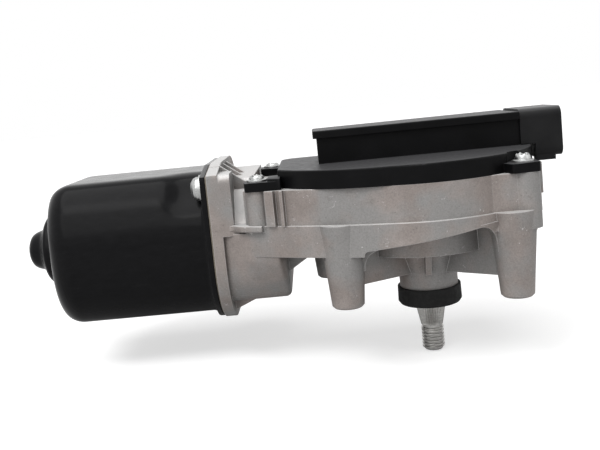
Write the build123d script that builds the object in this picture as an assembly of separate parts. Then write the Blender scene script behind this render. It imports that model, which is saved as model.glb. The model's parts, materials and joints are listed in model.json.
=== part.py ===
from build123d import *
import math
import os

# Front wiper motor: millimetres, +X from the motor can to the connector, +Y away from the
# wall that carries the near mounting posts, +Z up. The origin is where the output shaft axis
# meets the plane of the mounting post faces.

# ---------------------------------------------------------------- driving dimensions
# output shaft
shaft_radius = 5.0
taper_top_radius = 5.2
thread_radius = 4.0
serration_top_z = -8.4
serration_bottom_z = -15.8
shaft_tip_z = -25.0

# worm drive
gear_module = 1.0
wheel_teeth = 42
worm_pitch_radius = 4.0
gear_plane_z = 20.5
wheel_width = 7.0
worm_length = 26.0
tooth_thinning = 0.45
tooth_root_factor = 1.35
pressure_angle = 20.0

# motor can
can_radius = 30.5
can_half_height = 26.0
can_wall = 1.8
can_end_x = -136.3
can_corner = 9.0
can_flange_thickness = 2.0
dome_step_radius = 13.6
dome_step_length = 5.8
dome_cone_length = 2.8
cup_base_radius = 8.1
cup_length = 6.2
cup_wall = 1.6
cup_end_wall = 2.2
cup_bore_narrowing = 1.6
screw_pocket_length = 13.2
scoop_rounding = 0.8

# mating flange
flange_face_x = -74.8
flange_thickness = 3.8
flange_half_width = can_radius + 5.5
flange_half_height = 29.0
flange_round = 22.5
flange_ear_round = 4.0
gasket_thickness = 0.5
ear_block_thickness = 8.0
ear_block_height = 22.0
ear_block_width = 15.0
flange_screw_radius = 2.5
flange_screw_inset = 8.6
flange_screw_drop = 8.0
flange_head_radius = 4.3
flange_head_height = 3.0
flange_washer_thickness = 1.0
flange_washer_radius = 4.9

# gear housing
housing_wall = 3.0
housing_radius = 39.0
deck_z = 40.3
rim_bottom_z = 17.7
parting_z = 28.3
parting_step = 0.5
housing_left_x = -63.0
near_corner_y = -13.0
near_mid_x = -38.0
near_mid_y = -27.2
tunnel_radius = 10.8
tunnel_right_x = 33.0
bowl_bottom_z = 14.2
bowl_floor = 1.9
wheel_clearance = 1.2
shaft_boss_radius = 10.4
shaft_boss_bottom_z = -3.0
shaft_boss_flare_z = 5.0
shaft_boss_flare = 3.8
web_bottom_z = 4.4
web_rise = 2.3
web_top_z = 25.0
web_thickness = 4.6
web_draft = 1.2
front_rib_bottom_z = 5.3
barrel_bottom_z = -1.5
barrel_right_x = -49.6
barrel_round = 13.0
barrel_inset = 2.5
neck_foot_y = -9.0
neck_shoulder_y = 4.0
neck_top_z = 43.6
neck_right_x = -59.6
gusset_right_x = -61.0
ledge_bottom_z = 24.8
ledge_top_z = 28.2
ledge_right_x = -57.7
arch_left_x = -24.0
arch_right_x = 19.5
arch_left_rise = 1.6
arch_rise = 7.2

# mounting posts
post_face_radius = 5.4
post_root_radius = 7.8
near_left_post = (-30.3, -24.5)
near_right_post = (24.5, -29.8)
far_post = (-34.5, 23.0)
mount_thread_radius = 3.0
mount_thread_depth = 16.0
far_thread_depth = 7.0

# cover and electronics box
cover_skirt_height = 6.2
cover_wall = 2.2
cover_left_x = -50.0
cover_far_y = 32.7
cover_inset = 0.4
lug_height = 3.0
lug_radius = 4.6
box_left_x = -35.6
box_right_x = 34.5
box_near_y = -6.6
box_far_left_y = 13.5
box_far_right_y = 19.5
box_top_z = 55.4
box_wall = 1.6
lid_thickness = 2.7
lid_overhang = 1.3
near_left_screw = (-57.2, -13.2)
far_left_screw = (-54.0, 37.6)
near_right_screw_angle = -46.9
near_right_screw_out = 2.9
far_right_screw_angle = 45.95
far_right_screw_out = 3.4
cover_screw_radius = 2.0
cover_head_radius = 4.0
cover_head_height = 3.2
cover_screw_length = 14.0

# connector
connector_length = 14.3
connector_width = 24.0
connector_bottom_z = 41.8
connector_top_z = 58.8
connector_corner = 3.0
connector_wall = 1.7
connector_back = 2.2
terminal_count = 5
terminal_width = 1.6
terminal_thickness = 0.8

# clearances
running_fit = 0.03
seat_gap = 0.3
screw_clearance = 0.3
end_float = 0.3

# ---------------------------------------------------------------- values worked out
wheel_pitch_radius = gear_module * wheel_teeth / 2
motor_axis_y = wheel_pitch_radius + worm_pitch_radius
motor_axis_z = gear_plane_z
axial_pitch = math.pi * gear_module
lead_angle = math.degrees(math.atan(axial_pitch / (2 * math.pi * worm_pitch_radius)))
wheel_tip_radius = wheel_pitch_radius + gear_module
worm_tip_radius = worm_pitch_radius + gear_module
worm_root_radius = worm_pitch_radius - tooth_root_factor * gear_module
pressure_slope = math.tan(math.radians(pressure_angle))
wheel_pocket_radius = wheel_tip_radius + wheel_clearance
bowl_radius = wheel_pocket_radius + housing_wall - 0.6
bowl_floor_z = bowl_bottom_z + bowl_floor
upper_floor_z = parting_z + 0.5
flange_near_y = motor_axis_y - flange_half_width
flange_far_y = motor_axis_y + flange_half_width
flange_top_z = motor_axis_z + flange_half_height
flange_bottom_z = motor_axis_z - flange_half_height
can_open_x = flange_face_x - gasket_thickness - can_flange_thickness
screw_pocket_radius = flange_head_radius + 2.9
near_screw = (flange_near_y + flange_screw_inset, flange_top_z - flange_screw_drop)
far_screw = (flange_far_y - flange_screw_inset, flange_bottom_z + flange_screw_drop)
cover_top_z = deck_z + cover_skirt_height
cone_x = can_end_x - dome_step_length
cup_x = cone_x - dome_cone_length
cup_tip_x = cup_x - cup_length
connector_right_x = box_right_x + connector_length
connector_mid_y = box_near_y - 1.0 + connector_width / 2


def around_shaft(radius, angle):
    """Plan position at a radius and an angle in degrees from the output axis."""
    return radius * math.cos(math.radians(angle)), radius * math.sin(math.radians(angle))


near_right_screw = around_shaft(housing_radius + near_right_screw_out, near_right_screw_angle)
far_right_screw = around_shaft(housing_radius + far_right_screw_out, far_right_screw_angle)
cover_screws_at = (near_left_screw, far_left_screw, near_right_screw, far_right_screw)


# ---------------------------------------------------------------- small helpers
LOW = (Align.CENTER, Align.CENTER, Align.MIN)


def block(x0, x1, y0, y1, z0, z1):
    """Box between two corners."""
    middle = Pos((x0 + x1) / 2, (y0 + y1) / 2, (z0 + z1) / 2)
    return middle * Box(x1 - x0, y1 - y0, z1 - z0)


def rod_z(x, y, z0, z1, radius):
    """Cylinder along Z from z0 to z1."""
    return Pos(x, y, z0) * Cylinder(radius, z1 - z0, align=LOW)


def rod_x(x0, x1, radius, y=motor_axis_y, z=motor_axis_z):
    """Cylinder along X from x0 to x1, on the motor axis unless told otherwise."""
    return Pos(x0, y, z) * Rot(0, 90, 0) * Cylinder(radius, x1 - x0, align=LOW)


def tube_x(x0, x1, outer, inner, y=motor_axis_y, z=motor_axis_z):
    """Tube along X."""
    return rod_x(x0, x1, outer, y, z) - rod_x(x0, x1, inner, y, z)


def tube_z(x, y, z0, z1, outer, inner):
    """Tube along Z."""
    return rod_z(x, y, z0, z1, outer) - rod_z(x, y, z0, z1, inner)


def prism_z(sketch, z0, z1):
    """Plan outline raised from z0 to z1."""
    return extrude(Pos(0, 0, z0) * sketch, amount=z1 - z0)


def prism_x(sketch, x0, x1):
    """Outline drawn in Y and Z, pushed from x0 to x1."""
    return extrude(Plane.YZ.offset(x0) * sketch, amount=x1 - x0)


def turned_x(points):
    """Solid of revolution about the motor axis from (x, radius) points."""
    profile = make_face(Polyline(*points, close=True))
    place = Pos(0, motor_axis_y, motor_axis_z)
    return place * revolve(profile, Axis.X)


def turned_z(points, x=0.0, y=0.0):
    """Solid of revolution about a vertical axis from (radius, z) points."""
    profile = Plane.XZ * make_face(Polyline(*points, close=True))
    return Pos(x, y, 0) * revolve(profile, Axis.Z)


def save(name, shape):
    """Write one sub-part."""
    export_step(shape, f"parts/{name}.step")


# ---------------------------------------------------------------- motor can and its inside
def can_section(offset=0.0):
    """Round sides and flat top and bottom, with softened corners, about the motor axis."""
    round_part = Circle(can_radius - offset)
    flats = Rectangle(2 * can_radius, 2 * (can_half_height - offset))
    section = round_part & flats
    section = fillet(section.vertices(), 6.0 - offset)
    return Pos(motor_axis_y, motor_axis_z) * section


def flange_outline(inset=0.0):
    """Flange plate outline: two ears at near top and far bottom, two large rounds."""
    width = 2 * (flange_half_width - inset)
    height = 2 * (flange_half_height - inset)
    plate = Rectangle(width, height)
    ears = [v for v in plate.vertices() if v.X * v.Y < 0]
    rounds = [v for v in plate.vertices() if v.X * v.Y > 0]
    plate = fillet(ears, flange_ear_round)
    rounds = [v for v in plate.vertices() if v.X * v.Y > 0 and abs(v.X) > width / 2 - 0.01
              and abs(v.Y) > height / 2 - 0.01]
    plate = fillet(rounds, flange_round)
    # the top edge falls away towards the near ear, and the bottom edge towards the far one
    fall = Polyline((-width, height / 2), (-width / 2 + 18, height / 2),
                    (-width / 2, height / 2 - 3.0), (-width, height / 2 - 3.0), close=True)
    wedge = make_face(fall)
    plate = plate - wedge - Rot(0, 0, 180) * wedge
    return Pos(motor_axis_y, motor_axis_z) * plate


def screw_pocket(x0, x1, radius):
    """Round spaces about the two flange screws."""
    return rod_x(x0, x1, radius, *near_screw) + rod_x(x0, x1, radius, *far_screw)


def screw_scoops(radius, x1):
    """Spaces with a rounded end that clear the two flange screw heads."""
    x0 = can_open_x - screw_pocket_length - (radius - screw_pocket_radius)
    scoops = screw_pocket(x0, x1, radius)
    return fillet(scoops.edges().group_by(Axis.X)[0], scoop_rounding * radius)


def cup_inner_radius(x):
    """Inside radius of the bearing cup, which narrows towards its tip."""
    base = cup_base_radius - cup_wall
    return base - cup_bore_narrowing * (cup_x - x) / (cup_length - cup_end_wall)


def motor_can():
    """Deep-drawn steel can with stepped dome, bearing cup and flange."""
    outer = prism_x(can_section(), can_end_x, can_open_x)
    end_edges = outer.faces().sort_by(Axis.X)[0].edges()
    outer = fillet(end_edges, can_corner)
    outer -= screw_scoops(screw_pocket_radius, can_open_x)
    inner = prism_x(can_section(can_wall), can_end_x + can_wall, can_open_x + 1)
    inner = fillet(inner.faces().sort_by(Axis.X)[0].edges(), can_corner - can_wall)
    inner -= screw_scoops(screw_pocket_radius + can_wall, can_open_x + 1)

    dome = turned_x([
        (can_end_x + 1, 0), (can_end_x + 1, dome_step_radius + 1.6), (can_end_x, dome_step_radius + 1.6),
        (can_end_x - 1.0, dome_step_radius + 0.3), (cone_x + 0.6, dome_step_radius),
        (cone_x - 0.4, dome_step_radius - 0.7), (cup_x + 0.7, cup_base_radius + 0.7),
        (cup_x - 0.3, cup_base_radius - 0.1), (cup_tip_x + 3.0, cup_base_radius - 1.0),
        (cup_tip_x + 1.7, cup_base_radius - 1.8), (cup_tip_x + 0.7, cup_base_radius - 3.4),
        (cup_tip_x, cup_base_radius - 5.7), (cup_tip_x, 0)])
    hollow_end_x = cup_tip_x + cup_end_wall
    step_bore = dome_step_radius - can_wall
    dome_inside = turned_x([
        (can_end_x + can_wall + 0.1, 0), (can_end_x + can_wall + 0.1, step_bore),
        (cone_x + can_wall / 2, step_bore), (cup_x + can_wall / 2, cup_inner_radius(cup_x)),
        (cup_x, cup_inner_radius(cup_x)), (hollow_end_x, cup_inner_radius(hollow_end_x)), (hollow_end_x, 0)])

    flange = prism_x(flange_outline(0.4), can_open_x, can_open_x + can_flange_thickness)
    mouth = prism_x(can_section(can_wall), can_open_x - 0.5, can_open_x + can_flange_thickness + 1)
    mouth -= screw_pocket(can_open_x - 0.5, can_open_x + can_flange_thickness + 1,
                          screw_pocket_radius + can_wall)
    holes = screw_pocket(can_open_x - 1, can_open_x + 4, flange_screw_radius + screw_clearance)
    return outer + dome + flange - inner - dome_inside - mouth - holes


def can_end_bush():
    """Ball-shaped sintered bush in the can's cup."""
    x0 = bush_right_x - bush_length
    x1 = bush_right_x
    bore = armature_shaft_radius + running_fit
    seat_radius = cup_inner_radius(cup_x)
    return turned_x([(x0, bore), (x0, cup_inner_radius(x0) - 1.0), (x0 + 1.8, cup_inner_radius(x0 + 1.8)),
                     (cup_x, seat_radius), (x1 - 1.8, seat_radius), (x1, seat_radius - 1.6), (x1, bore)])


def bush_spring():
    """Spring ring that holds the end bush in its cup."""
    rim_x = cone_x + can_wall
    outer = dome_step_radius - can_wall
    hole = armature_shaft_radius + 0.8
    thick = 0.5
    return turned_x([(rim_x, outer), (rim_x + thick, outer), (bush_right_x + thick, hole),
                     (bush_right_x, hole)])


armature_shaft_radius = 3.5
shaft_left_x = cup_tip_x + cup_end_wall + 1.0
shaft_right_x = 25.0
bush_length = 6.0
bush_right_x = shaft_left_x + bush_length + 0.6
card_x = can_open_x - 4.7
card_thickness = 2.4
commutator_length = 10.6
commutator_right_x = card_x - 0.8
commutator_left_x = commutator_right_x - commutator_length
core_length = 26.5
core_right_x = commutator_left_x - 5.9
core_left_x = core_right_x - core_length
core_radius = 20.2
winding_radius = core_radius - 2.2
magnet_half_height = 16.8
slot_count = 10
commutator_radius = 10.5
commutator_bars = 10
front_bearing_x = -70.0
front_bearing_width = 6.0
front_bearing_radius = 9.5
worm_bush_x = 17.5
worm_bush_length = 6.0
worm_bush_radius = 6.0
plug_radius = 4.2


def field_magnets():
    """Two ferrite arcs against the round sides of the can."""
    outer = can_radius - can_wall
    ring = tube_x(core_left_x - 1.5, core_right_x + 2, outer, core_radius + 0.9)
    band = block(core_left_x - 3, core_right_x + 3, motor_axis_y - outer, motor_axis_y + outer,
                 motor_axis_z - magnet_half_height, motor_axis_z + magnet_half_height)
    arcs = (ring & band).solids().sort_by(Axis.Y)
    return arcs[0], arcs[-1]


def magnet_springs():
    """Flat U springs above and below that push the magnets apart."""
    low = magnet_half_height
    high = can_half_height - can_wall
    thick = 0.8
    foot = math.sqrt((core_radius + 2.0)**2 - low**2) + 1.0
    flat = math.sqrt((can_radius - can_wall)**2 - high**2) - 5.0
    strip = make_face(Polyline((-foot, low), (-flat, high), (flat, high), (foot, low), (foot - 1.0, low),
                               (flat - 0.5, high - thick), (0.5 - flat, high - thick), (1.0 - foot, low),
                               close=True))
    upper = prism_x(Pos(motor_axis_y, motor_axis_z) * strip, core_left_x + 3, core_right_x - 3)
    lower = prism_x(Pos(motor_axis_y, motor_axis_z) * Rot(0, 0, 180) * strip, core_left_x + 3,
                    core_right_x - 3)
    return Compound([upper, lower])


def armature_shaft():
    """Ground shaft with the single-start worm cut at its gearbox end."""
    body = rod_x(shaft_left_x, shaft_right_x, armature_shaft_radius)
    worm_half = worm_length / 2
    blank = turned_x([
        (-worm_half - 2, 0), (-worm_half - 2, armature_shaft_radius), (-worm_half, worm_root_radius),
        (worm_half, worm_root_radius), (worm_half + 2, armature_shaft_radius), (worm_half + 2, 0)])
    neck = rod_x(-worm_half - 1.2, worm_half + 1.2, worm_tip_radius + 1) - rod_x(
        -worm_half - 2, worm_half + 2, worm_root_radius)
    body = body - neck + blank
    turns = int(worm_length / axial_pitch) - 1
    height = turns * axial_pitch
    helix = Helix(axial_pitch, height, worm_root_radius - 0.1)
    depth = worm_tip_radius - worm_root_radius + 0.1
    crest = axial_pitch / 4 - tooth_thinning / 2 - gear_module * pressure_slope
    root = crest + depth * pressure_slope
    section = make_face(Polyline((0, -root), (depth, -crest), (depth, crest), (0, root), close=True))
    start = Plane(origin=helix @ 0, x_dir=(1, 0, 0), z_dir=helix % 0)
    thread = sweep(start * section, path=helix, is_frenet=True)
    # the helix starts on its local +X; turn it onto the worm's side that faces the wheel
    thread = Rot(0, 90, 0) * Rot(0, 0, -90) * thread
    gap_centred = -height / 2 if turns % 2 else -height / 2 + axial_pitch / 2
    place = Pos(gap_centred, motor_axis_y, motor_axis_z)
    return body + place * thread


def armature_core():
    """Slotted lamination stack."""
    face = Circle(core_radius)
    face -= Circle(armature_shaft_radius)
    slot = Pos(core_radius - 4.2, 0) * Rectangle(10.5, 3.6) + Pos(core_radius, 0) * Rectangle(4, 1.8)
    slot -= Pos(core_radius - 0.6, 2.4) * Rectangle(3, 3) + Pos(core_radius - 0.6, -2.4) * Rectangle(3, 3)
    for i in range(slot_count):
        face -= Rot(0, 0, 360 * i / slot_count) * slot
    core = prism_x(Pos(motor_axis_y, motor_axis_z) * face, core_left_x, core_right_x)
    return core


def armature_windings():
    """Copper end turns on both faces of the stack."""
    turns = []
    for face_x, side in ((core_left_x, -1), (core_right_x, 1)):
        points = [(face_x, winding_radius), (face_x + side * 3.0, winding_radius - 1.0),
                  (face_x + side * 4.6, winding_radius - 4.0), (face_x + side * 4.6, winding_radius / 2),
                  (face_x + side * 3.0, armature_shaft_radius + 1.2),
                  (face_x, armature_shaft_radius + 1.2)]
        turns.append(turned_x(points))
    return Compound(turns)


def commutator():
    """Copper bars on a moulded sleeve."""
    drum = tube_x(commutator_left_x, commutator_right_x, commutator_radius, armature_shaft_radius)
    riser = tube_x(commutator_left_x, commutator_left_x + 2, commutator_radius + 1.6,
                   commutator_radius - 1)
    drum += riser
    for i in range(commutator_bars):
        slot = Pos(0, motor_axis_y, motor_axis_z) * Rot(360 * i / commutator_bars, 0, 0) * block(
            commutator_left_x - 1, commutator_right_x + 1, commutator_radius - 0.9,
            commutator_radius + 3, -0.3, 0.3)
        drum -= slot
    return drum


def front_bearing():
    """Ball bearing that carries the armature in the neck of the housing."""
    x1 = front_bearing_x + front_bearing_width
    outer = tube_x(front_bearing_x, x1, front_bearing_radius, front_bearing_radius - 1.8)
    inner = tube_x(front_bearing_x, x1, armature_shaft_radius + 1.9, armature_shaft_radius + running_fit)
    shield = tube_x(front_bearing_x + 0.8, x1 - 0.8, front_bearing_radius - 1.8,
                    armature_shaft_radius + 1.9)
    return outer + inner + shield


def bearing_clip():
    """Spring washer that keeps the ball bearing in its seat."""
    return tube_x(front_bearing_x - 0.8, front_bearing_x, front_bearing_radius + 1.4,
                  front_bearing_radius - 2.0)


def worm_bush():
    """Sintered bush at the far end of the worm."""
    x1 = worm_bush_x + worm_bush_length
    return tube_x(worm_bush_x, x1, worm_bush_radius, armature_shaft_radius + running_fit)


def thrust_button():
    """Domed pad between the shaft end and the end-play screw."""
    x0 = shaft_right_x + end_float
    x1 = x0 + 3.0
    return turned_x([(x0, 0), (x0, 0.8), (x0 + 0.5, 1.7), (x1 - 1.2, 2.2), (x1 - 1.2, plug_radius),
                     (x1, plug_radius), (x1, 0)])


def end_play_screw():
    """Slotted adjusting plug in the end of the worm tunnel."""
    plug = rod_x(shaft_right_x + end_float + 3.0, tunnel_right_x + 0.6, plug_radius)
    slot = block(tunnel_right_x - 0.8, tunnel_right_x + 1, motor_axis_y - 5, motor_axis_y + 5,
                 motor_axis_z - 0.6, motor_axis_z + 0.6)
    return plug - slot


card_hole_radius = 12.7
brush_angles = (180.0, 240.0, 0.0)
brush_width = 5.0
brush_height = 4.0
brush_length = 7.5
choke_offset = 15.5
choke_length = 10.5


def brush_place(angle):
    """Frame whose +Y points away from the commutator at the given angle."""
    return Pos(0, motor_axis_y, motor_axis_z) * Rot(angle, 0, 0)


def brush_span():
    """X range of the brushes, on the card's commutator side."""
    x1 = card_x - 0.6
    return x1 - brush_width, x1


def brush_card():
    """Moulded plate that carries the brush gear, held in the can's mouth by the housing."""
    plate = can_section(can_wall) - Pos(motor_axis_y, motor_axis_z) * Circle(card_hole_radius)
    card = prism_x(plate, card_x, card_x + card_thickness)
    card += prism_x(can_section(can_wall) - can_section(can_wall + 2.0), card_x, flange_face_x)
    return card - screw_pocket(card_x - 1, flange_face_x + 1, screw_pocket_radius + can_wall)


def brush_boxes():
    """Folded brass guides riveted to the card."""
    x0, x1 = brush_span()
    boxes = []
    for angle in brush_angles:
        inner = commutator_radius + 2.6
        outer = inner + 10.0
        tube = block(x0 - 0.6, card_x, inner, outer, -brush_height / 2 - 0.7, brush_height / 2 + 0.7)
        tube -= block(x0 - 0.1, x1 + 0.1, inner - 1, outer - 0.6, -brush_height / 2 - 0.1,
                      brush_height / 2 + 0.1)
        boxes.append(brush_place(angle) * tube)
    return Compound(boxes)


def carbon_brush(angle):
    """One carbon brush, hollowed to the commutator's curve."""
    x0, x1 = brush_span()
    inner = commutator_radius + 0.3
    brush = block(x0, x1, inner - 1.0, inner + brush_length, -brush_height / 2, brush_height / 2)
    brush -= rod_x(x0 - 1, x1 + 1, inner, 0, 0)
    return brush_place(angle) * brush


def brush_springs():
    """Springs behind the brushes, each a short sleeve of wire turns."""
    x0, x1 = brush_span()
    middle = (x0 + x1) / 2
    springs = []
    for angle in brush_angles:
        start = commutator_radius + 0.3 + brush_length
        stop = commutator_radius + 2.6 + 10.0 - 0.6
        coil = Pos(middle, start, 0) * Rot(-90, 0, 0) * (
            Cylinder(1.5, stop - start, align=LOW) - Cylinder(0.9, stop - start, align=LOW))
        springs.append(brush_place(angle) * coil)
    return Compound(springs)


def chokes():
    """Two ferrite rod chokes on the card."""
    rods = []
    for side in (1, -1):
        y = motor_axis_y + side * choke_offset
        rods.append(rod_x(card_x - choke_length, card_x, 2.4, y, motor_axis_z - 11.0))
    return Compound(rods)


def flange_gasket():
    """Paper gasket between the can flange and the housing."""
    ring = flange_outline(0.6) - can_section(can_wall - 0.2)
    sheet = prism_x(ring, flange_face_x - gasket_thickness, flange_face_x)
    holes = screw_pocket(flange_face_x - 2, flange_face_x + 1, flange_screw_radius + screw_clearance)
    return sheet - holes


def flange_screws():
    """Two pan-head screws that hold the can to the housing."""
    seat_x = can_open_x - flange_washer_thickness
    tip_x = flange_face_x + ear_block_thickness - 1.2
    screws = []
    for y, z in (near_screw, far_screw):
        head = turned_about(y, z, [
            (seat_x - flange_head_height, 0), (seat_x - flange_head_height, 2.6),
            (seat_x - flange_head_height + 0.9, flange_head_radius - 0.5),
            (seat_x - flange_head_height + 1.9, flange_head_radius), (seat_x, flange_head_radius),
            (seat_x, flange_screw_radius), (tip_x - 0.6, flange_screw_radius),
            (tip_x, flange_screw_radius - 0.6), (tip_x, 0)])
        cross = Pos(seat_x - flange_head_height, y, z) * (Box(2.8, 1.0, 4.4) + Box(2.8, 4.4, 1.0))
        screws.append(head - cross)
    return Compound(screws)


def turned_about(y, z, points):
    """Solid of revolution about an X line through (y, z) from (x, radius) points."""
    profile = make_face(Polyline(*points, close=True))
    return Pos(0, y, z) * revolve(profile, Axis.X)


def flange_washers():
    """Plain washers under the flange screws."""
    x1 = can_open_x
    rings = [tube_x(x1 - flange_washer_thickness, x1, flange_washer_radius,
                    flange_screw_radius + 0.2, y, z) for y, z in (near_screw, far_screw)]
    return Compound(rings)


# ---------------------------------------------------------------- gear housing
def tangent_point(x, y, radius):
    """Where the line from an outside point touches a circle about the shaft, on the near side."""
    distance = math.hypot(x, y)
    angle = math.atan2(y, x) + math.acos(radius / distance)
    return radius * math.cos(angle), radius * math.sin(angle)


def near_wall_y(x):
    """Y of the near wall's arc at a given X, between the motor and its middle point."""
    p = Vector(housing_left_x, near_corner_y)
    q = Vector(near_mid_x, near_mid_y)
    r = Vector(*tangent_point(near_mid_x, near_mid_y, housing_radius))
    turn = 2 * ((q.X - p.X) * (r.Y - p.Y) - (q.Y - p.Y) * (r.X - p.X))
    pq = q.X**2 + q.Y**2 - p.X**2 - p.Y**2
    pr = r.X**2 + r.Y**2 - p.X**2 - p.Y**2
    centre_x = (pq * (r.Y - p.Y) - pr * (q.Y - p.Y)) / turn
    centre_y = (pr * (q.X - p.X) - pq * (r.X - p.X)) / turn
    reach = math.hypot(p.X - centre_x, p.Y - centre_y)
    side = 1 if p.Y > centre_y else -1
    return centre_y + side * math.sqrt(reach**2 - (x - centre_x)**2)


def housing_outline(inset=0.0, left_x=housing_left_x, far_y=None):
    """Plan of the gear housing: wheel circle, near wall swept to the motor, far tunnel side."""
    radius = housing_radius - inset
    far_y = motor_axis_y + tunnel_radius - inset if far_y is None else far_y
    corner = (left_x + inset, near_corner_y + inset)
    touch = tangent_point(near_mid_x, near_mid_y + inset, radius)
    near = ThreePointArc(corner, (near_mid_x, near_mid_y + inset), touch)
    rest = Polyline(touch, (0, 0), (0, far_y), (corner[0], far_y), corner)
    wheel_part = Circle(radius) & Pos(0, far_y - radius) * Rectangle(2 * radius, 2 * radius)
    return make_face([near, rest]) + wheel_part


def post(x, y, top_z, root_radius):
    """Tapered mounting post standing on its face at Z = 0."""
    return turned_z([(0, 0), (post_face_radius - 0.7, 0), (post_face_radius, 0.7),
                     (root_radius, top_z), (0, top_z)], x, y)


def web(x, y, thickness, top_z):
    """Radial web from the shaft boss to a post, thicker at its root."""
    length = math.hypot(x, y)
    angle = math.degrees(math.atan2(y, x))
    bottom = Rectangle(length, thickness - web_draft, align=(Align.MIN, Align.CENTER))
    top = Rectangle(length, thickness, align=(Align.MIN, Align.CENTER))
    body = loft([Pos(0, 0, web_bottom_z) * bottom, Pos(0, 0, top_z) * top])
    under = make_face(Polyline((0, web_bottom_z), (length + 1, web_bottom_z + web_rise),
                               (length + 1, web_bottom_z - 1), (0, web_bottom_z - 1), close=True))
    body -= Pos(0, thickness, 0) * extrude(Plane.XZ * under, amount=2 * thickness)
    return Rot(0, 0, angle) * body


def neck():
    """Neck between the flange and the deck: brush chamber, barrel below it and the ledge."""
    near = flange_near_y + barrel_inset
    far = flange_far_y - 4.0
    barrel = Rectangle(far - near, ledge_bottom_z + 1.5 - barrel_bottom_z)
    low = [v for v in barrel.vertices() if v.Y < 0]
    barrel = fillet(low, barrel_round)
    barrel = Pos((near + far) / 2, (ledge_bottom_z + 1.5 + barrel_bottom_z) / 2) * barrel
    lower = prism_x(barrel, flange_face_x, barrel_right_x)
    right_edges = lower.faces().sort_by(Axis.X)[-1].edges()
    lower = fillet(right_edges, 2.2)
    chute = make_face(Polyline((neck_foot_y, ledge_bottom_z), (neck_foot_y, ledge_top_z),
                               (neck_shoulder_y, neck_top_z), (far - 2.0, neck_top_z),
                               (far - 2.0, ledge_bottom_z), close=True))
    upper = prism_x(chute, flange_face_x, neck_right_x)
    top_edges = upper.edges().filter_by(Axis.X).group_by(Axis.Z)[-1]
    upper = fillet(top_edges, 3.0)
    shelf = block(flange_face_x, ledge_right_x, flange_near_y, near + 12, ledge_bottom_z, ledge_top_z)
    end_edge = shelf.edges().filter_by(Axis.Z).group_by(Axis.X)[-1].sort_by(Axis.Y)[0]
    shelf = fillet(end_edge, 2.6)
    return lower + upper + shelf


def neck_ribs():
    """Three sloping ribs from the flange down to the deck."""
    ribs = None
    for y in (1.5, 12.5, 23.0):
        side = make_face(Polyline((flange_face_x, neck_top_z - 2), (flange_face_x, flange_top_z - 0.8),
                                  (flange_face_x + flange_thickness, flange_top_z - 0.8),
                                  (neck_right_x, deck_z), (neck_right_x, neck_top_z - 5), close=True))
        rib = Pos(0, y + 0.8, 0) * extrude(Plane.XZ * side, amount=1.6)
        ribs = rib if ribs is None else ribs + rib
    return ribs


def ear_blocks():
    """Thick blocks behind the two flange screws."""
    x1 = flange_face_x + ear_block_thickness
    near_top = flange_top_z - 3.0
    near = block(flange_face_x, x1, flange_near_y, flange_near_y + ear_block_width,
                 ledge_bottom_z, near_top)
    near = fillet(near.edges().filter_by(Axis.X).group_by(Axis.Z)[-1], 3.0)
    far_bottom = flange_bottom_z + 3.0
    far = block(flange_face_x, x1, flange_far_y - ear_block_width, flange_far_y,
                far_bottom, far_bottom + ear_block_height)
    far = fillet(far.edges().filter_by(Axis.X).group_by(Axis.Z)[0], 3.0)
    return near + far


def near_wall_details():
    """Screw boss, pilaster and thin rib on the wall beside the motor flange."""
    details = rod_z(*near_left_screw, parting_z - 2, deck_z, lug_radius)
    for x, width, stand in ((-52.9, 3.3, 1.1), (-48.9, 1.1, 0.9)):
        slope = math.degrees(math.atan2(near_wall_y(x + 1) - near_wall_y(x - 1), 2))
        details += Pos(x, near_wall_y(x), (parting_z + deck_z) / 2) * Rot(0, 0, slope) * Box(
            width, 2 * stand, deck_z - parting_z)
    return details


def screw_bosses():
    """Bosses that take the cover screws, at the corners of the deck."""
    bosses = rod_z(*far_left_screw, rim_bottom_z + 6, deck_z, lug_radius + 0.4)
    bosses += rod_z(*near_right_screw, parting_z - 6, deck_z, lug_radius + 0.4)
    bosses += rod_z(*far_right_screw, rim_bottom_z + 4, deck_z, lug_radius + 0.4)
    x, y = near_right_screw
    bosses += Pos(0, 0, parting_z - 6) * extrude(make_face(Polyline(
        (x, y - lug_radius + 0.6), (x - 12, y - 3.6), (x - 12, y + 10), (x + 6, y + 14), close=True)),
        amount=deck_z - parting_z + 6)
    return bosses


def right_slab():
    """Upright pads on the wheel circle's right side."""
    slab = block(housing_radius - 3, housing_radius + 1.7, -9.0, 0.5, 29.5, deck_z)
    slab += block(housing_radius - 3, housing_radius + 1.0, -9.0, 0.5, 23.5, 30.0)
    return slab


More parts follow.
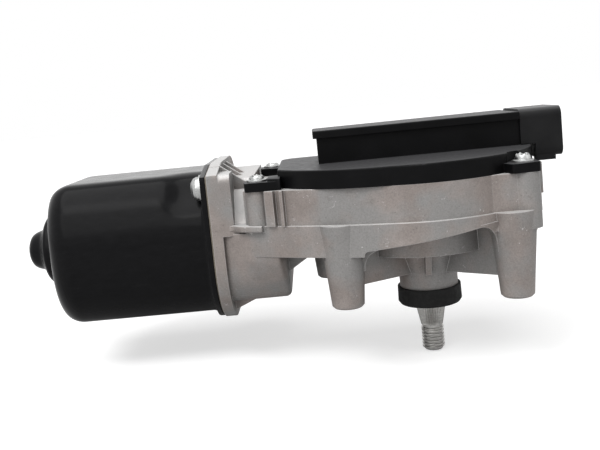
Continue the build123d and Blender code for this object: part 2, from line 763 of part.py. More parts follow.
def gear_housing():
    """Die-cast housing: flange, neck, deck, wheel bowl, worm tunnel, posts and shaft boss."""
    body = prism_z(housing_outline(), rim_bottom_z, parting_z)
    arch = make_face(Polyline(
        (arch_left_x, rim_bottom_z - 4), (arch_left_x, rim_bottom_z + arch_left_rise),
        (arch_right_x - 3.5, rim_bottom_z + arch_rise), (arch_right_x, rim_bottom_z + arch_rise - 0.6),
        (arch_right_x, rim_bottom_z - 4), close=True))
    high_corners = arch.vertices().sort_by(Axis.Y)[2:]
    arch = fillet(high_corners, 1.5)
    body -= extrude(Plane.XZ * arch, amount=60)
    body += prism_z(housing_outline(parting_step), parting_z - 1, deck_z)
    body += rod_z(0, 0, bowl_bottom_z, parting_z, bowl_radius)
    body += rod_x(barrel_right_x - 4, tunnel_right_x, tunnel_radius)
    body += prism_x(flange_outline(), flange_face_x, flange_face_x + flange_thickness)
    body += neck() + neck_ribs() + ear_blocks()
    body += near_wall_details() + screw_bosses() + right_slab()

    body += post(*near_left_post, parting_z, post_root_radius)
    body += post(*near_right_post, parting_z, post_root_radius)
    body += post(*far_post, motor_axis_z - 4, post_root_radius - 1.0)
    for x, y in (near_left_post, near_right_post, far_post):
        body += web(x, y, web_thickness, web_top_z if y < 0 else rim_bottom_z + 1)
    front_rib = make_face(Polyline((0, bowl_bottom_z + 1), (-17.5, bowl_bottom_z + 1),
                                   (-13.6, front_rib_bottom_z), (0, front_rib_bottom_z), close=True))
    body += prism_x(front_rib, -2.6, -0.5)
    boss = turned_z([(0, shaft_boss_bottom_z), (shaft_boss_radius - 0.6, shaft_boss_bottom_z),
                     (shaft_boss_radius, shaft_boss_bottom_z + 0.6), (shaft_boss_radius, shaft_boss_flare_z),
                     (shaft_boss_radius + shaft_boss_flare, bowl_bottom_z), (0, bowl_bottom_z)])
    body += boss
    gusset_left_x = flange_face_x + 2
    gusset = make_face(Polyline((gusset_left_x, flange_bottom_z + 2.5), (gusset_right_x, barrel_bottom_z + 0.5),
                                (gusset_right_x, barrel_bottom_z + 4), (gusset_left_x, barrel_bottom_z + 4),
                                close=True))
    body += Pos(0, 8.0, 0) * extrude(Plane.XZ * gusset, amount=3.0)
    end_web = make_face(Polyline((barrel_right_x - 3, 8.4), (barrel_right_x, 8.4), (-43.0, 12.5),
                                 (-40.0, rim_bottom_z + 1), (barrel_right_x - 3, rim_bottom_z + 1),
                                 close=True))
    body += Pos(0, 3.0, 0) * extrude(Plane.XZ * end_web, amount=3.0)

    # machined and cored spaces
    chamber = prism_z(housing_outline(parting_step + housing_wall, left_x=-52.0,
                                      far_y=motor_axis_y + worm_pocket_radius), upper_floor_z, deck_z + 1)
    for x, y in cover_screws_at:
        chamber -= rod_z(x, y, upper_floor_z - 1, deck_z + 2, lug_radius + 0.6)
    body -= chamber
    body -= rod_z(0, 0, bowl_floor_z, upper_floor_z + 1, wheel_pocket_radius)
    body -= rod_x(front_bearing_x + front_bearing_width, worm_bush_x, worm_pocket_radius)
    body -= rod_x(worm_bush_x - 1, worm_bush_x + worm_bush_length, worm_bush_radius)
    body -= rod_x(worm_bush_x, tunnel_right_x + 1, plug_radius)
    body -= rod_x(front_bearing_x, front_bearing_x + front_bearing_width + 0.1, front_bearing_radius)
    body -= rod_x(flange_face_x - 1, front_bearing_x, brush_chamber_radius)
    body -= rod_z(0, 0, shaft_boss_bottom_z - 1, bowl_floor_z + 1, output_bush_radius)
    for y, z in (near_screw, far_screw):
        body -= rod_x(flange_face_x - 1, flange_face_x + ear_block_thickness - 0.6, flange_screw_radius, y, z)
    for x, y in cover_screws_at:
        body -= rod_z(x, y, deck_z - cover_screw_length + 2, deck_z + 1, cover_screw_radius)
    for x, y in (near_left_post, near_right_post, far_post):
        depth = mount_thread_depth if y < 0 else far_thread_depth
        body -= rod_z(x, y, -1, depth, mount_thread_radius)
    return body


worm_pocket_radius = worm_tip_radius + 1.2
brush_chamber_radius = 18.0
output_bush_radius = shaft_radius + 2.0


# ---------------------------------------------------------------- output drive
washer_thickness = 0.6
circlip_top_z = shaft_boss_bottom_z - end_float - washer_thickness
circlip_thickness = 1.0
upper_bush_z = (6.0, bowl_bottom_z + bowl_floor)
lower_bush_z = (-2.6, 3.4)
wheel_bottom_z = gear_plane_z - wheel_width / 2
wheel_top_z = gear_plane_z + wheel_width / 2
hub_radius = 8.0
park_disc_outer = 18.5
park_disc_inner = hub_radius + 1.5
park_disc_thickness = 0.5
park_gap_half_width = 2.6
lower_washer_radius = 7.4


def output_bush(z_range):
    """Sintered bush in the shaft boss."""
    return tube_z(0, 0, *z_range, output_bush_radius, shaft_radius + running_fit)


def output_shaft():
    """Shaft with serrated taper and threaded end."""
    groove_z = circlip_top_z
    body = turned_z([
        (0, wheel_top_z + 1.6), (shaft_radius - 0.6, wheel_top_z + 1.6), (shaft_radius, wheel_top_z + 1.0),
        (shaft_radius, groove_z), (shaft_radius - 0.6, groove_z),
        (shaft_radius - 0.6, groove_z - circlip_thickness), (shaft_radius, groove_z - circlip_thickness),
        (shaft_radius, serration_top_z + 0.4),
        (taper_top_radius, serration_top_z), (taper_top_radius, serration_top_z - 0.8),
        (thread_radius - 0.1, serration_bottom_z), (thread_radius - 0.6, serration_bottom_z - 0.1),
        (thread_radius - 0.6, serration_bottom_z - 0.7), (thread_radius - 0.1, serration_bottom_z - 1.1),
        (thread_radius - 0.1, shaft_tip_z + 1.0), (thread_radius - 1.0, shaft_tip_z), (0, shaft_tip_z)])
    return body


def toothed_ring():
    """Plan of the worm wheel with trapezoid teeth."""
    root = wheel_pitch_radius - tooth_root_factor * gear_module
    pitch_half = axial_pitch / 4 - tooth_thinning / 2
    tip_half = pitch_half - gear_module * pressure_slope
    root_half = pitch_half + tooth_root_factor * gear_module * pressure_slope
    points = []
    for i in range(wheel_teeth):
        middle = math.radians(90 + 360 * i / wheel_teeth)
        corners = ((root, root_half), (wheel_tip_radius, tip_half), (wheel_tip_radius, -tip_half),
                   (root, -root_half))
        for radius, half in corners:
            angle = middle - half / radius
            points.append((radius * math.cos(angle), radius * math.sin(angle)))
    return make_face(Polyline(*points, close=True))


def worm_wheel():
    """Moulded helical wheel with a recessed web."""
    twist = math.degrees(wheel_width * math.tan(math.radians(lead_angle)) / wheel_pitch_radius)
    outline = toothed_ring().face().outer_wire()
    blank = Solid.extrude_linear_with_rotation(outline, (0, 0, 0), (0, 0, wheel_width), twist)
    blank = Pos(0, 0, wheel_bottom_z) * Rot(0, 0, -twist / 2) * blank
    recess = tube_z(0, 0, wheel_bottom_z - 1, wheel_bottom_z + 2.4, wheel_pitch_radius - 4.2,
                    hub_radius + 1.5)
    return blank - recess - rod_z(0, 0, wheel_bottom_z - 1, wheel_top_z + 1, hub_radius)


def wheel_hub():
    """Steel hub moulded into the wheel and pressed on the shaft."""
    return tube_z(0, 0, wheel_bottom_z, wheel_top_z + 0.6, hub_radius, shaft_radius)


def park_disc():
    """Contact plate on top of the wheel, with its parking gap."""
    plate = tube_z(0, 0, wheel_top_z, wheel_top_z + park_disc_thickness, park_disc_outer, park_disc_inner)
    gap = Rot(0, 0, 35) * block((park_disc_inner + park_disc_outer) / 2, park_disc_outer + 1,
                                -park_gap_half_width, park_gap_half_width, wheel_top_z - 1, wheel_top_z + 2)
    return plate - gap


def thrust_washer(z, outer):
    """Flat washer on the shaft."""
    return tube_z(0, 0, z, z + washer_thickness, outer, shaft_radius + 0.1)


def circlip():
    """Retaining ring in the shaft groove below the boss."""
    z0 = circlip_top_z - circlip_thickness
    ring = tube_z(0, 0, z0, circlip_top_z, shaft_radius + 1.6, shaft_radius - 0.6)
    return ring - block(0, 9, -1.6, 1.6, z0 - 1, circlip_top_z + 1)


def boss_seal():
    """Rubber ring round the end of the shaft boss, with an inner lip."""
    grip = shaft_boss_radius + 0.9
    top_z = -0.9
    bottom_z = -7.2
    return turned_z([(shaft_boss_radius, top_z), (grip, top_z), (grip + 0.1, bottom_z + 1.0),
                     (grip - 0.6, bottom_z), (shaft_radius + 2.8, bottom_z),
                     (shaft_radius + 2.8, bottom_z + 1.2), (shaft_boss_radius, bottom_z + 1.8)])


def shaft_seal():
    """Lip seal pressed under the lower bush."""
    return tube_z(0, 0, 3.6, 5.8, output_bush_radius, shaft_radius + 0.06)


# ---------------------------------------------------------------- cover, box and connector
def cover_outline(inset=0.0):
    """Plan of the cover's raised part."""
    plan = housing_outline(cover_inset + inset, left_x=cover_left_x - cover_inset,
                           far_y=cover_far_y - inset)
    left_cut = Pos(cover_left_x + inset - 20, 0) * Rectangle(40, 120)
    plan -= left_cut
    corner = [v for v in plan.vertices() if v.X < cover_left_x + inset + 0.5 and v.Y > 10]
    return fillet(corner, 6.0)


def box_outline(grow=0.0, left_x=box_left_x, right_x=box_right_x):
    """Plan of the electronics box, wider towards the connector."""
    return make_face(Polyline((left_x - grow, box_near_y - grow), (right_x, box_near_y - grow),
                              (right_x, box_far_right_y + grow), (left_x - grow, box_far_left_y + grow),
                              close=True))


def cover_lugs():
    """Four screw ears of the cover."""
    ears = None
    pads = (
        (near_left_screw, ((-4.2, -4.8), (8.2, -6.3), (8.2, 8.7), (-4.2, 5.7))),
        (far_left_screw, ((-4.6, -4.6), (-4.6, 4.6), (4.6, 4.6), (9.0, -7.6), (5.0, -9.6))),
        (near_right_screw, ((-4.6, -6.0), (4.6, -4.3), (4.6, 8.6), (-8.6, 6.6))),
        (far_right_screw, ((-4.6, 4.6), (4.6, 4.6), (4.6, -4.6), (-3.5, -10.5), (-9.5, -2.5))),
    )
    for (x, y), offsets in pads:
        plate = make_face(Polyline(*[(x + dx, y + dy) for dx, dy in offsets], close=True))
        plate = fillet(plate.vertices(), 1.2)
        ear = prism_z(plate, deck_z, deck_z + lug_height)
        ears = ear if ears is None else ears + ear
    return ears


def gearbox_cover():
    """Moulded cover: skirt, top, screw ears and the walls of the electronics box."""
    shell = prism_z(cover_outline(), deck_z, cover_top_z)
    top_edges = shell.faces().sort_by(Axis.Z)[-1].edges()
    shell = fillet(top_edges, 0.6)
    shell += cover_lugs()
    shell -= prism_z(cover_outline(cover_wall), deck_z - 1, cover_top_z - cover_wall)
    for x, y in cover_screws_at:
        shell += rod_z(x, y, deck_z, deck_z + lug_height, lug_radius) & rod_z(x, y, deck_z, cover_top_z, 6)
        shell -= rod_z(x, y, deck_z + lug_height, cover_top_z + 1, cover_head_radius + 0.8)
    walls = box_outline() - offset(box_outline(), -box_wall)
    shell += prism_z(walls, cover_top_z - 0.5, box_top_z)
    for x, y in cover_screws_at:
        shell -= rod_z(x, y, deck_z - 1, deck_z + lug_height + 1, cover_screw_radius + screw_clearance)
    return shell - connector_terminals()


def cover_gasket():
    """Rubber seal in the cover's skirt, between cover and deck."""
    ring = cover_outline(cover_wall + 0.2) - cover_outline(cover_wall + 1.5)
    return prism_z(ring, deck_z, deck_z + 1.4)


def box_lid():
    """Flat lid of the electronics box, with its overhanging edge."""
    plate = box_outline(lid_overhang, right_x=box_right_x)
    left = [v for v in plate.vertices() if v.X < 0]
    plate = fillet(left, 1.5)
    lid = prism_z(plate, box_top_z, box_top_z + lid_thickness)
    lid = fillet(lid.faces().sort_by(Axis.Z)[-1].edges(), 0.5)
    rib = offset(box_outline(), -box_wall - 0.2) - offset(box_outline(), -box_wall - 1.4)
    return lid + prism_z(rib, box_top_z - 1.6, box_top_z)


def circuit_board():
    """Board that closes the electronics box from inside."""
    plate = offset(box_outline(), -box_wall)
    return prism_z(plate, cover_top_z + 1.6, cover_top_z + 3.2)


def board_relay():
    """Relay on the board."""
    z0 = cover_top_z + 3.2
    return block(-28, -14, -3.0, 8.0, z0, z0 + 4.4)


def board_capacitors():
    """Two capacitors lying on the board."""
    z0 = cover_top_z + 3.2
    cans = [rod_z(x, 3.0, z0, z0 + 4.2, 3.0) for x in (-6.0, 4.0)]
    return Compound(cans)


def connector_shell():
    """Hollow connector shroud, open towards +X."""
    width = connector_width
    height = connector_top_z - connector_bottom_z
    mid_z = (connector_top_z + connector_bottom_z) / 2
    outline = Pos(connector_mid_y, mid_z) * RectangleRounded(width, height, connector_corner)
    shell = prism_x(outline, box_right_x, connector_right_x)
    shell -= block(box_right_x - 1, housing_radius + 0.4, -60, 60, connector_bottom_z - 1, cover_top_z + 0.15)
    mouth = Pos(connector_mid_y, mid_z) * RectangleRounded(
        width - 2 * connector_wall, height - 2 * connector_wall, connector_corner - 1.2)
    back_x = housing_radius + 0.4 + connector_back
    shell -= prism_x(mouth, back_x, connector_right_x + 1)
    upper = Pos(connector_mid_y, mid_z + 3) * RectangleRounded(width - 8, height - 11, 1.5)
    shell -= prism_x(upper, box_right_x + connector_back, back_x + 1)
    rail = block(housing_radius + 0.6, connector_right_x - 2.4, box_near_y, box_near_y + 3.0,
                 connector_bottom_z - 1.3, connector_bottom_z + 1)
    rail += block(housing_radius + 0.6, connector_right_x - 2.4, connector_mid_y + 6, connector_mid_y + 9,
                  connector_bottom_z - 1.3, connector_bottom_z + 1)
    return shell + rail - connector_terminals()


def connector_terminals():
    """Blade terminals in the connector, through its back wall to the board."""
    blades = []
    pitch = 3.6
    z = cover_top_z + 4.6
    for i in range(terminal_count):
        y = connector_mid_y + (i - (terminal_count - 1) / 2) * pitch
        blade = block(box_right_x - 3.0, connector_right_x - 4.0, y - terminal_width / 2,
                      y + terminal_width / 2, z, z + terminal_thickness)
        foot = block(box_right_x - 3.0, box_right_x - 2.2, y - terminal_width / 2,
                     y + terminal_width / 2, cover_top_z + 3.2, z)
        blades.append(blade + foot)
    return Compound(blades)


def cover_screws():
    """Four flanged pan-head screws."""
    screws = []
    for x, y in cover_screws_at:
        seat = deck_z + lug_height
        screw = turned_z([
            (0, deck_z - cover_screw_length + 3), (cover_screw_radius - 0.5, deck_z - cover_screw_length + 3),
            (cover_screw_radius, deck_z - cover_screw_length + 3.6), (cover_screw_radius, seat),
            (cover_head_radius, seat), (cover_head_radius, seat + 0.8), (cover_head_radius - 0.7, seat + 1.0),
            (cover_head_radius - 0.9, seat + 2.0), (cover_head_radius - 1.8, seat + cover_head_height - 0.4),
            (cover_head_radius - 3.0, seat + cover_head_height), (0, seat + cover_head_height)], x, y)
        screws.append(screw)
    return Compound(screws)


def park_contacts():
    """Three sprung fingers from the cover to the park disc."""
    fingers = []
    for step in range(3):
        x = park_disc_inner + 1.5 + 3.0 * step
        strip = block(x - 0.9, x + 0.9, -12.0, -11.4, wheel_top_z + 5, cover_top_z - cover_wall)
        arm = block(x - 0.9, x + 0.9, -12.0, 0.0, wheel_top_z + 4.4, wheel_top_z + 5.0)
        tip = block(x - 0.9, x + 0.9, -1.0, 0.0, wheel_top_z + 0.5 + seat_gap, wheel_top_z + 4.6)
        fingers.append(strip + arm + tip)
    return Compound(fingers)


def contact_carrier():
    """Moulded block under the cover that holds the park contacts."""
    left = park_disc_inner - 1.0
    return block(left, left + 11.0, -17.0, -12.0, deck_z - 4.0, cover_top_z - cover_wall)


# ---------------------------------------------------------------- write every sub-part
os.makedirs("parts", exist_ok=True)

near_magnet, far_magnet = field_magnets()
save("motor_can", motor_can())
save("can_end_bush", can_end_bush())
save("bush_spring", bush_spring())
save("magnet_near", near_magnet)
save("magnet_far", far_magnet)
save("magnet_springs", magnet_springs())
save("armature_shaft", armature_shaft())
save("armature_core", armature_core())
save("armature_windings", armature_windings())
save("commutator", commutator())
save("front_bearing", front_bearing())
save("bearing_clip", bearing_clip())
save("worm_bush", worm_bush())
save("thrust_button", thrust_button())
save("end_play_screw", end_play_screw())
save("brush_card", brush_card())
save("brush_boxes", brush_boxes())
for label, angle in zip(("low_speed", "high_speed", "common"), brush_angles):
    save(f"brush_{label}", carbon_brush(angle))
save("brush_springs", brush_springs())
save("chokes", chokes())
save("flange_gasket", flange_gasket())
save("flange_screws", flange_screws())
save("flange_washers", flange_washers())
save("gear_housing", gear_housing())
save("output_bush_upper", output_bush(upper_bush_z))
save("output_bush_lower", output_bush(lower_bush_z))
save("shaft_seal", shaft_seal())
save("boss_seal", boss_seal())
save("output_shaft", output_shaft())
save("worm_wheel", worm_wheel())
save("wheel_hub", wheel_hub())
save("park_disc", park_disc())
save("thrust_washer_upper", thrust_washer(wheel_bottom_z - washer_thickness, hub_radius))
save("thrust_washer_lower", thrust_washer(circlip_top_z, lower_washer_radius))
save("circlip", circlip())
save("gearbox_cover", gearbox_cover())
save("cover_gasket", cover_gasket())
save("box_lid", box_lid())
save("circuit_board", circuit_board())
save("board_relay", board_relay())
save("board_capacitors", board_capacitors())
save("connector_shell", connector_shell())
save("connector_terminals", connector_terminals())
save("park_contacts", park_contacts())
save("contact_carrier", contact_carrier())
save("cover_screws", cover_screws())
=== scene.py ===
import json
import math

import bmesh
import bpy
from mathutils import Matrix, Vector

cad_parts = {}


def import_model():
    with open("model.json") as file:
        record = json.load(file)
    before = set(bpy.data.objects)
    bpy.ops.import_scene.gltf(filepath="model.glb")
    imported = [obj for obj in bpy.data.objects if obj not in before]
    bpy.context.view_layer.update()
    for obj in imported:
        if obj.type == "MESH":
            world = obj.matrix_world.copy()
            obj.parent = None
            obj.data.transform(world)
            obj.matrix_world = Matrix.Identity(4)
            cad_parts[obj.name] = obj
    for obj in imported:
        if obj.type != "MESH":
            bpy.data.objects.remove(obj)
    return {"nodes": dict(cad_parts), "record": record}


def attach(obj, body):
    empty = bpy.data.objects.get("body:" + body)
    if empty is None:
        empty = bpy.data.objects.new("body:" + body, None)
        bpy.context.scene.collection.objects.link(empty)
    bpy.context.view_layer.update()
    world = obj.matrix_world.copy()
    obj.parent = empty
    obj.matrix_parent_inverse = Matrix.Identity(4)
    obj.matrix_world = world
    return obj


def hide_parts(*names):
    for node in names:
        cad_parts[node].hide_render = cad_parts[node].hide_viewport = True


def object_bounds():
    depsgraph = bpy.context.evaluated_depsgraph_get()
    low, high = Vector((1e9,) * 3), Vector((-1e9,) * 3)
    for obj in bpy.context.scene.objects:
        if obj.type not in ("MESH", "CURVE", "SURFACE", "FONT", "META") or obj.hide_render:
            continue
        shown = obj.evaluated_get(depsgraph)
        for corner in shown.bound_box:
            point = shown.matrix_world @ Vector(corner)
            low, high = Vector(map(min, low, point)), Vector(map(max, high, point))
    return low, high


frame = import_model()
cad_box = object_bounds()

MM = 0.001

# ---------------------------------------------------------------- sizes, in millimetres
# output shaft, from the top down: (Z, radius) or (start Z, end Z, radius)
SHAFT_TOP_Z = 25.6
SHAFT_RADIUS = 5.0
CIRCLIP_GROOVE = (-3.9, -4.9, 4.4)
TAPER_TOP = (-8.4, 5.2)
TAPER_SHOULDER_Z = -9.2
TAPER_END = (-15.8, 3.9)
RELIEF = (-15.9, -16.5, 3.4)
THREAD_START_Z = -16.9
THREAD_END_Z = -24.0
SHAFT_TIP = (-25.0, 3.0)
THREAD_RADIUS = 4.0
THREAD_PITCH = 1.25
THREAD_DEPTH = 0.62
THREAD_FLANK_SLOPE = 2.2
THREAD_CREST = 0.75
THREAD_FADE = 0.6
SERRATION_COUNT = 32
SERRATION_DEPTH = 0.50
SERRATION_FADE_IN = 0.5
SERRATION_FADE_OUT = 0.4

# cover screws: X, Y and height of the head
COVER_SCREWS = ((-57.2, -13.2, 2.4), (-54.0, 37.6, 1.7), (28.63, -30.59, 2.9), (29.48, 30.47, 2.9))
SCREW_SEAT_Z = 43.3
SCREW_END_Z = 29.3
SCREW_RADIUS = 2.0
SCREW_TIP_BREAK = 0.5
HEAD_RADIUS = 3.4
HEAD_CROWN_RADIUS = 2.5
HEAD_RIM_WIDTH = 0.7
HEAD_RIM_HEIGHT = 0.6
HEAD_RIM_RISE = 0.25
RECESS_RADIUS = 1.85
RECESS_LOBE = 0.28
RECESS_WALL = 0.12
RECESS_SHARE = 0.45

# an edge sharper than this many degrees isn't smoothed over
SHARP_ANGLE = 35.0

# motor can and its flange plate, round the motor axis (Y, Z); outlines are (X, radius)
MOTOR_AXIS = (25.0, 20.5)
CAN_SEGMENTS = 240
CAN_RADIUS = 30.5
CAN_HALF_HEIGHT = 26.0
CAN_EDGE_SHARPNESS = 40.0
CAN_SWELL = 2.0
CAN_WALL = 1.8
CAN_END_X = -136.3
CAN_CORNER = 9.0
CAN_OUTLINE = ((-136.3, 16.2), (-136.6, 15.0), (-137.6, 13.9), (-141.7, 13.5), (-142.6, 12.6),
               (-144.3, 8.8), (-145.3, 8.0), (-148.1, 7.1), (-149.5, 6.2), (-150.5, 4.4),
               (-151.1, 2.2))
CAN_OUTLINE_ROUND = 0.9
CAN_BORE = ((-134.5, 11.8), (-141.2, 11.8), (-144.0, 6.5), (-148.9, 4.9))
CAN_ROOT_FILLET = 1.8
FLANGE_LEFT_X = -77.3
FLANGE_RIGHT_X = -75.3
FLANGE_HALF_SIZE = (35.6, 28.6)
FLANGE_EAR_ROUND = 4.0
FLANGE_BIG_ROUND = 22.5
FLANGE_FALL = (18.0, 3.0)
FLANGE_EDGE_ROUND = 0.5
FLANGE_EDGE_BREAK = 0.3
# soft hollows beside the flange screws
SCALLOP_ANGLES = (139.0, 319.0)
SCALLOP_HALF_ANGLE = 25.0
SCALLOP_DEPTH = 3.0
SCALLOP_START_X = -84.6
SCALLOP_END_X = -94.0

# near side of the casting: deck wall, barrel below it, ledge and arch
HOUSING_WALL_START = (-63.0, -13.0)
HOUSING_WALL_SLOPE = -14.2 / 25.0
BARREL_NEAR_Y = -8.5
BARREL_ROUND = 13.0
BARREL_BOTTOM_Z = -1.5
BARREL_RIGHT_X = -49.6
BARREL_END_ROUND = 2.2
WALL_BOTTOM_Z = 17.7
# a blend's skin lies this far off the casting's own
SKIN_GAP = 0.05
FAIRING_TOP_Z = 25.6
FAIRING_LEFT_X = -73.6
FAIRING_FOOT_Z = 2.0
FAIRING_END_ROUND = 3.4
FAIRING_END_GAP = 0.4
FAIRING_START_BLEND = 2.0
FAIRING_BACK_Y = 8.0
LEDGE_Z = (26.4, 28.6)
LEDGE_START_X = -68.5
LEDGE_END_X = -56.4
LEDGE_STAND = 2.8
LEDGE_START_Y = -11.05
LEDGE_START_TAPER = 4.5
LEDGE_END_ROUND = 1.6
LEDGE_BACK_Y = -6.0
LEDGE_TOP_ROUND = 0.5
LEDGE_FOOT_BREAK = 0.4
HOUSING_RADIUS = 39.0
# arch corners (X, Z): start, corner, end; then the near Y at the post
ARCH_RIGHT_BLEND = ((12.0, 24.4), (18.4, 25.0), (18.5, 15.5))
ARCH_RIGHT_POST_Y = -33.0
ARCH_LEFT_BLEND = ((-17.5, 20.2), (-23.9, 19.3), (-23.7, 12.0))
ARCH_LEFT_POST_Y = -27.0
BLEND_OVERLAP = 0.8
BLEND_BACK_Y = -20.0

COVER_SHOULDER = ((-49.0, -14.0), (-49.0, -20.0), (-53.6, -17.5), (-53.6, -8.0),
                  (-49.0, -8.0), (-49.0, -14.0))
COVER_SHOULDER_ROUND = 1.0
COVER_SHOULDER_Z = (40.35, 44.3)
# its top edge: depth below the top, and the share drawn in towards the middle
COVER_SHOULDER_MIDDLE = (-50.5, -13.0)
COVER_SHOULDER_EDGE = ((0.6, 0.0), (0.2, 0.04), (0.0, 0.12))

# photograph's camera, fitted to the object's outline
CAMERA_PLACE = (-37.4, -283.9, 71.0)
CAMERA_YAW = -1.15
CAMERA_PITCH = 6.66
CAMERA_ROLL = 5.62
FOCAL_PIXELS = 800.0
IMAGE_WIDTH = 600.0
IMAGE_HEIGHT = 450.0
CENTRE_ROW = 188.7
SENSOR_WIDTH = 36.0

# floor and light, at strengths that render a colour about as it is written
FLOOR_REACH = 4000.0
FLOOR_GAP = 0.5
FLOOR_LIFT = 0.58
WORLD_STRENGTH = 0.34
# sky lamps: name, way the light goes, spread in degrees, strength
SKY_LAMPS = (("overhead", (0.15, 0.30, -1.0), 60.0, 2.0),
             ("front", (0.40, 1.0, -0.70), 45.0, 0.68),
             ("side", (-1.0, 0.45, -0.55), 45.0, 0.35))
WINDOW_PLACE = (-420.0, -400.0, 620.0)
WINDOW_TARGET = (-80.0, 0.0, 30.0)
WINDOW_SIZE = (500.0, 200.0)
WINDOW_WATTS = 3.4


# ---------------------------------------------------------------- node helpers
class Graph:
    """Small helper round one material's node tree."""

    def __init__(self, name):
        self.material = bpy.data.materials.new(name)
        self.material.use_nodes = True
        self.tree = self.material.node_tree
        self.shader = self.tree.nodes["Principled BSDF"]
        self.coords = self.add("ShaderNodeTexCoord").outputs["Object"]

    def add(self, kind, **settings):
        """New node with the given settings."""
        node = self.tree.nodes.new(kind)
        for key, value in settings.items():
            setattr(node, key, value)
        return node

    def link(self, source, target):
        """Wire from a node's output to an input."""
        self.tree.links.new(source, target)

    def noise(self, size_mm, detail=3.0, roughness=0.55, stretch=(1, 1, 1)):
        """Noise whose features are about size_mm across."""
        mapping = self.add("ShaderNodeMapping")
        mapping.inputs["Scale"].default_value = stretch
        self.link(self.coords, mapping.inputs["Vector"])
        node = self.add("ShaderNodeTexNoise")
        node.inputs["Scale"].default_value = 1000.0 / size_mm
        node.inputs["Detail"].default_value = detail
        node.inputs["Roughness"].default_value = roughness
        self.link(mapping.outputs["Vector"], node.inputs["Vector"])
        return node.outputs["Fac"]

    def cells(self, size_mm):
        """Distance to the nearest of scattered points about size_mm apart."""
        node = self.add("ShaderNodeTexVoronoi")
        node.inputs["Scale"].default_value = 1000.0 / size_mm
        self.link(self.coords, node.inputs["Vector"])
        return node.outputs["Distance"]

    def ramp(self, source, stops):
        """Colour ramp from (position, colour) stops."""
        node = self.add("ShaderNodeValToRGB")
        elements = node.color_ramp.elements
        while len(elements) < len(stops):
            elements.new(0.5)
        for element, (position, colour) in zip(elements, stops):
            element.position = position
            element.color = (*colour, 1.0)
        self.link(source, node.inputs["Fac"])
        return node.outputs["Color"]

    def spread(self, source, low, high, start=0.3, stop=0.7):
        """Maps a 0 to 1 value from start..stop to low..high."""
        node = self.add("ShaderNodeMapRange")
        node.inputs["From Min"].default_value = start
        node.inputs["From Max"].default_value = stop
        node.inputs["To Min"].default_value = low
        node.inputs["To Max"].default_value = high
        self.link(source, node.inputs["Value"])
        return node.outputs["Result"]

    def mix(self, factor, first, second, blend="MIX"):
        """Mixes two colours, each a socket or an RGB triple."""
        node = self.add("ShaderNodeMix", data_type="RGBA", blend_type=blend)
        for value, socket in ((factor, node.inputs["Factor"]), (first, node.inputs[6]),
                              (second, node.inputs[7])):
            if isinstance(value, (int, float)):
                socket.default_value = value
            elif isinstance(value, tuple):
                socket.default_value = (*value, 1.0)
            else:
                self.link(value, socket)
        return node.outputs[2]

    def bump(self, height, depth_mm, normal=None):
        """Normal bent by a height, on top of another normal if one is given."""
        node = self.add("ShaderNodeBump")
        node.inputs["Strength"].default_value = 1.0
        node.inputs["Distance"].default_value = depth_mm * MM
        self.link(height, node.inputs["Height"])
        if normal is not None:
            self.link(normal, node.inputs["Normal"])
        return node.outputs["Normal"]

    def soft_edges(self, radius_mm):
        """Normal that rounds sharp edges."""
        node = self.add("ShaderNodeBevel", samples=6)
        node.inputs["Radius"].default_value = radius_mm * MM
        return node.outputs["Normal"]

    def edge_wear(self, radius_mm):
        """How far the rounded normal departs from the true one: 0 on flats, up at edges."""
        geometry = self.add("ShaderNodeNewGeometry")
        difference = self.add("ShaderNodeVectorMath", operation="DISTANCE")
        self.link(geometry.outputs["Normal"], difference.inputs[0])
        self.link(self.soft_edges(radius_mm), difference.inputs[1])
        return difference.outputs["Value"]

    def open_sky(self, reach_mm):
        """1 on open surfaces, less in hollows and corners."""
        node = self.add("ShaderNodeAmbientOcclusion", samples=6)
        node.inputs["Distance"].default_value = reach_mm * MM
        return node.outputs["AO"]

    def up_facing(self):
        """Z of the surface's normal: 1 on level tops, 0 on walls."""
        geometry = self.add("ShaderNodeNewGeometry")
        split = self.add("ShaderNodeSeparateXYZ")
        self.link(geometry.outputs["Normal"], split.inputs[0])
        return split.outputs["Z"]

    def set(self, **values):
        """Sets the shader's sockets to numbers, colours or other nodes' outputs."""
        for key, value in values.items():
            socket = self.shader.inputs[key.replace("_", " ")]
            if isinstance(value, (int, float)):
                socket.default_value = value
            elif isinstance(value, tuple):
                socket.default_value = (*value, 1.0)
            else:
                self.link(value, socket)
        return self.material


# ---------------------------------------------------------------- materials
def can_paint():
    """Semi-gloss black paint on drawn steel, with faint orange peel and scuffs."""
    g = Graph("can_paint")
    scuff = g.noise(1.6, 6.0, 0.7, stretch=(0.35, 1, 1))
    colour = g.ramp(scuff, [(0.30, (0.0042, 0.0042, 0.0046)), (0.62, (0.0060, 0.0060, 0.0066)),
                            (0.80, (0.010, 0.010, 0.010))])
    wear = g.spread(g.edge_wear(0.5), 0.0, 0.5, 0.25, 0.9)
    colour = g.mix(wear, colour, (0.05, 0.05, 0.05))
    roughness = g.spread(g.noise(7.0, 4.0), 0.17, 0.25)
    normal = g.bump(g.noise(1.1, 2.0), 0.004, g.soft_edges(0.35))
    normal = g.bump(g.noise(11.0, 2.0), 0.04, normal)
    return g.set(Base_Color=colour, Roughness=roughness, Normal=normal, Specular_IOR_Level=0.04,
                 Coat_Weight=0.45, Coat_Roughness=0.20, Coat_IOR=1.18)


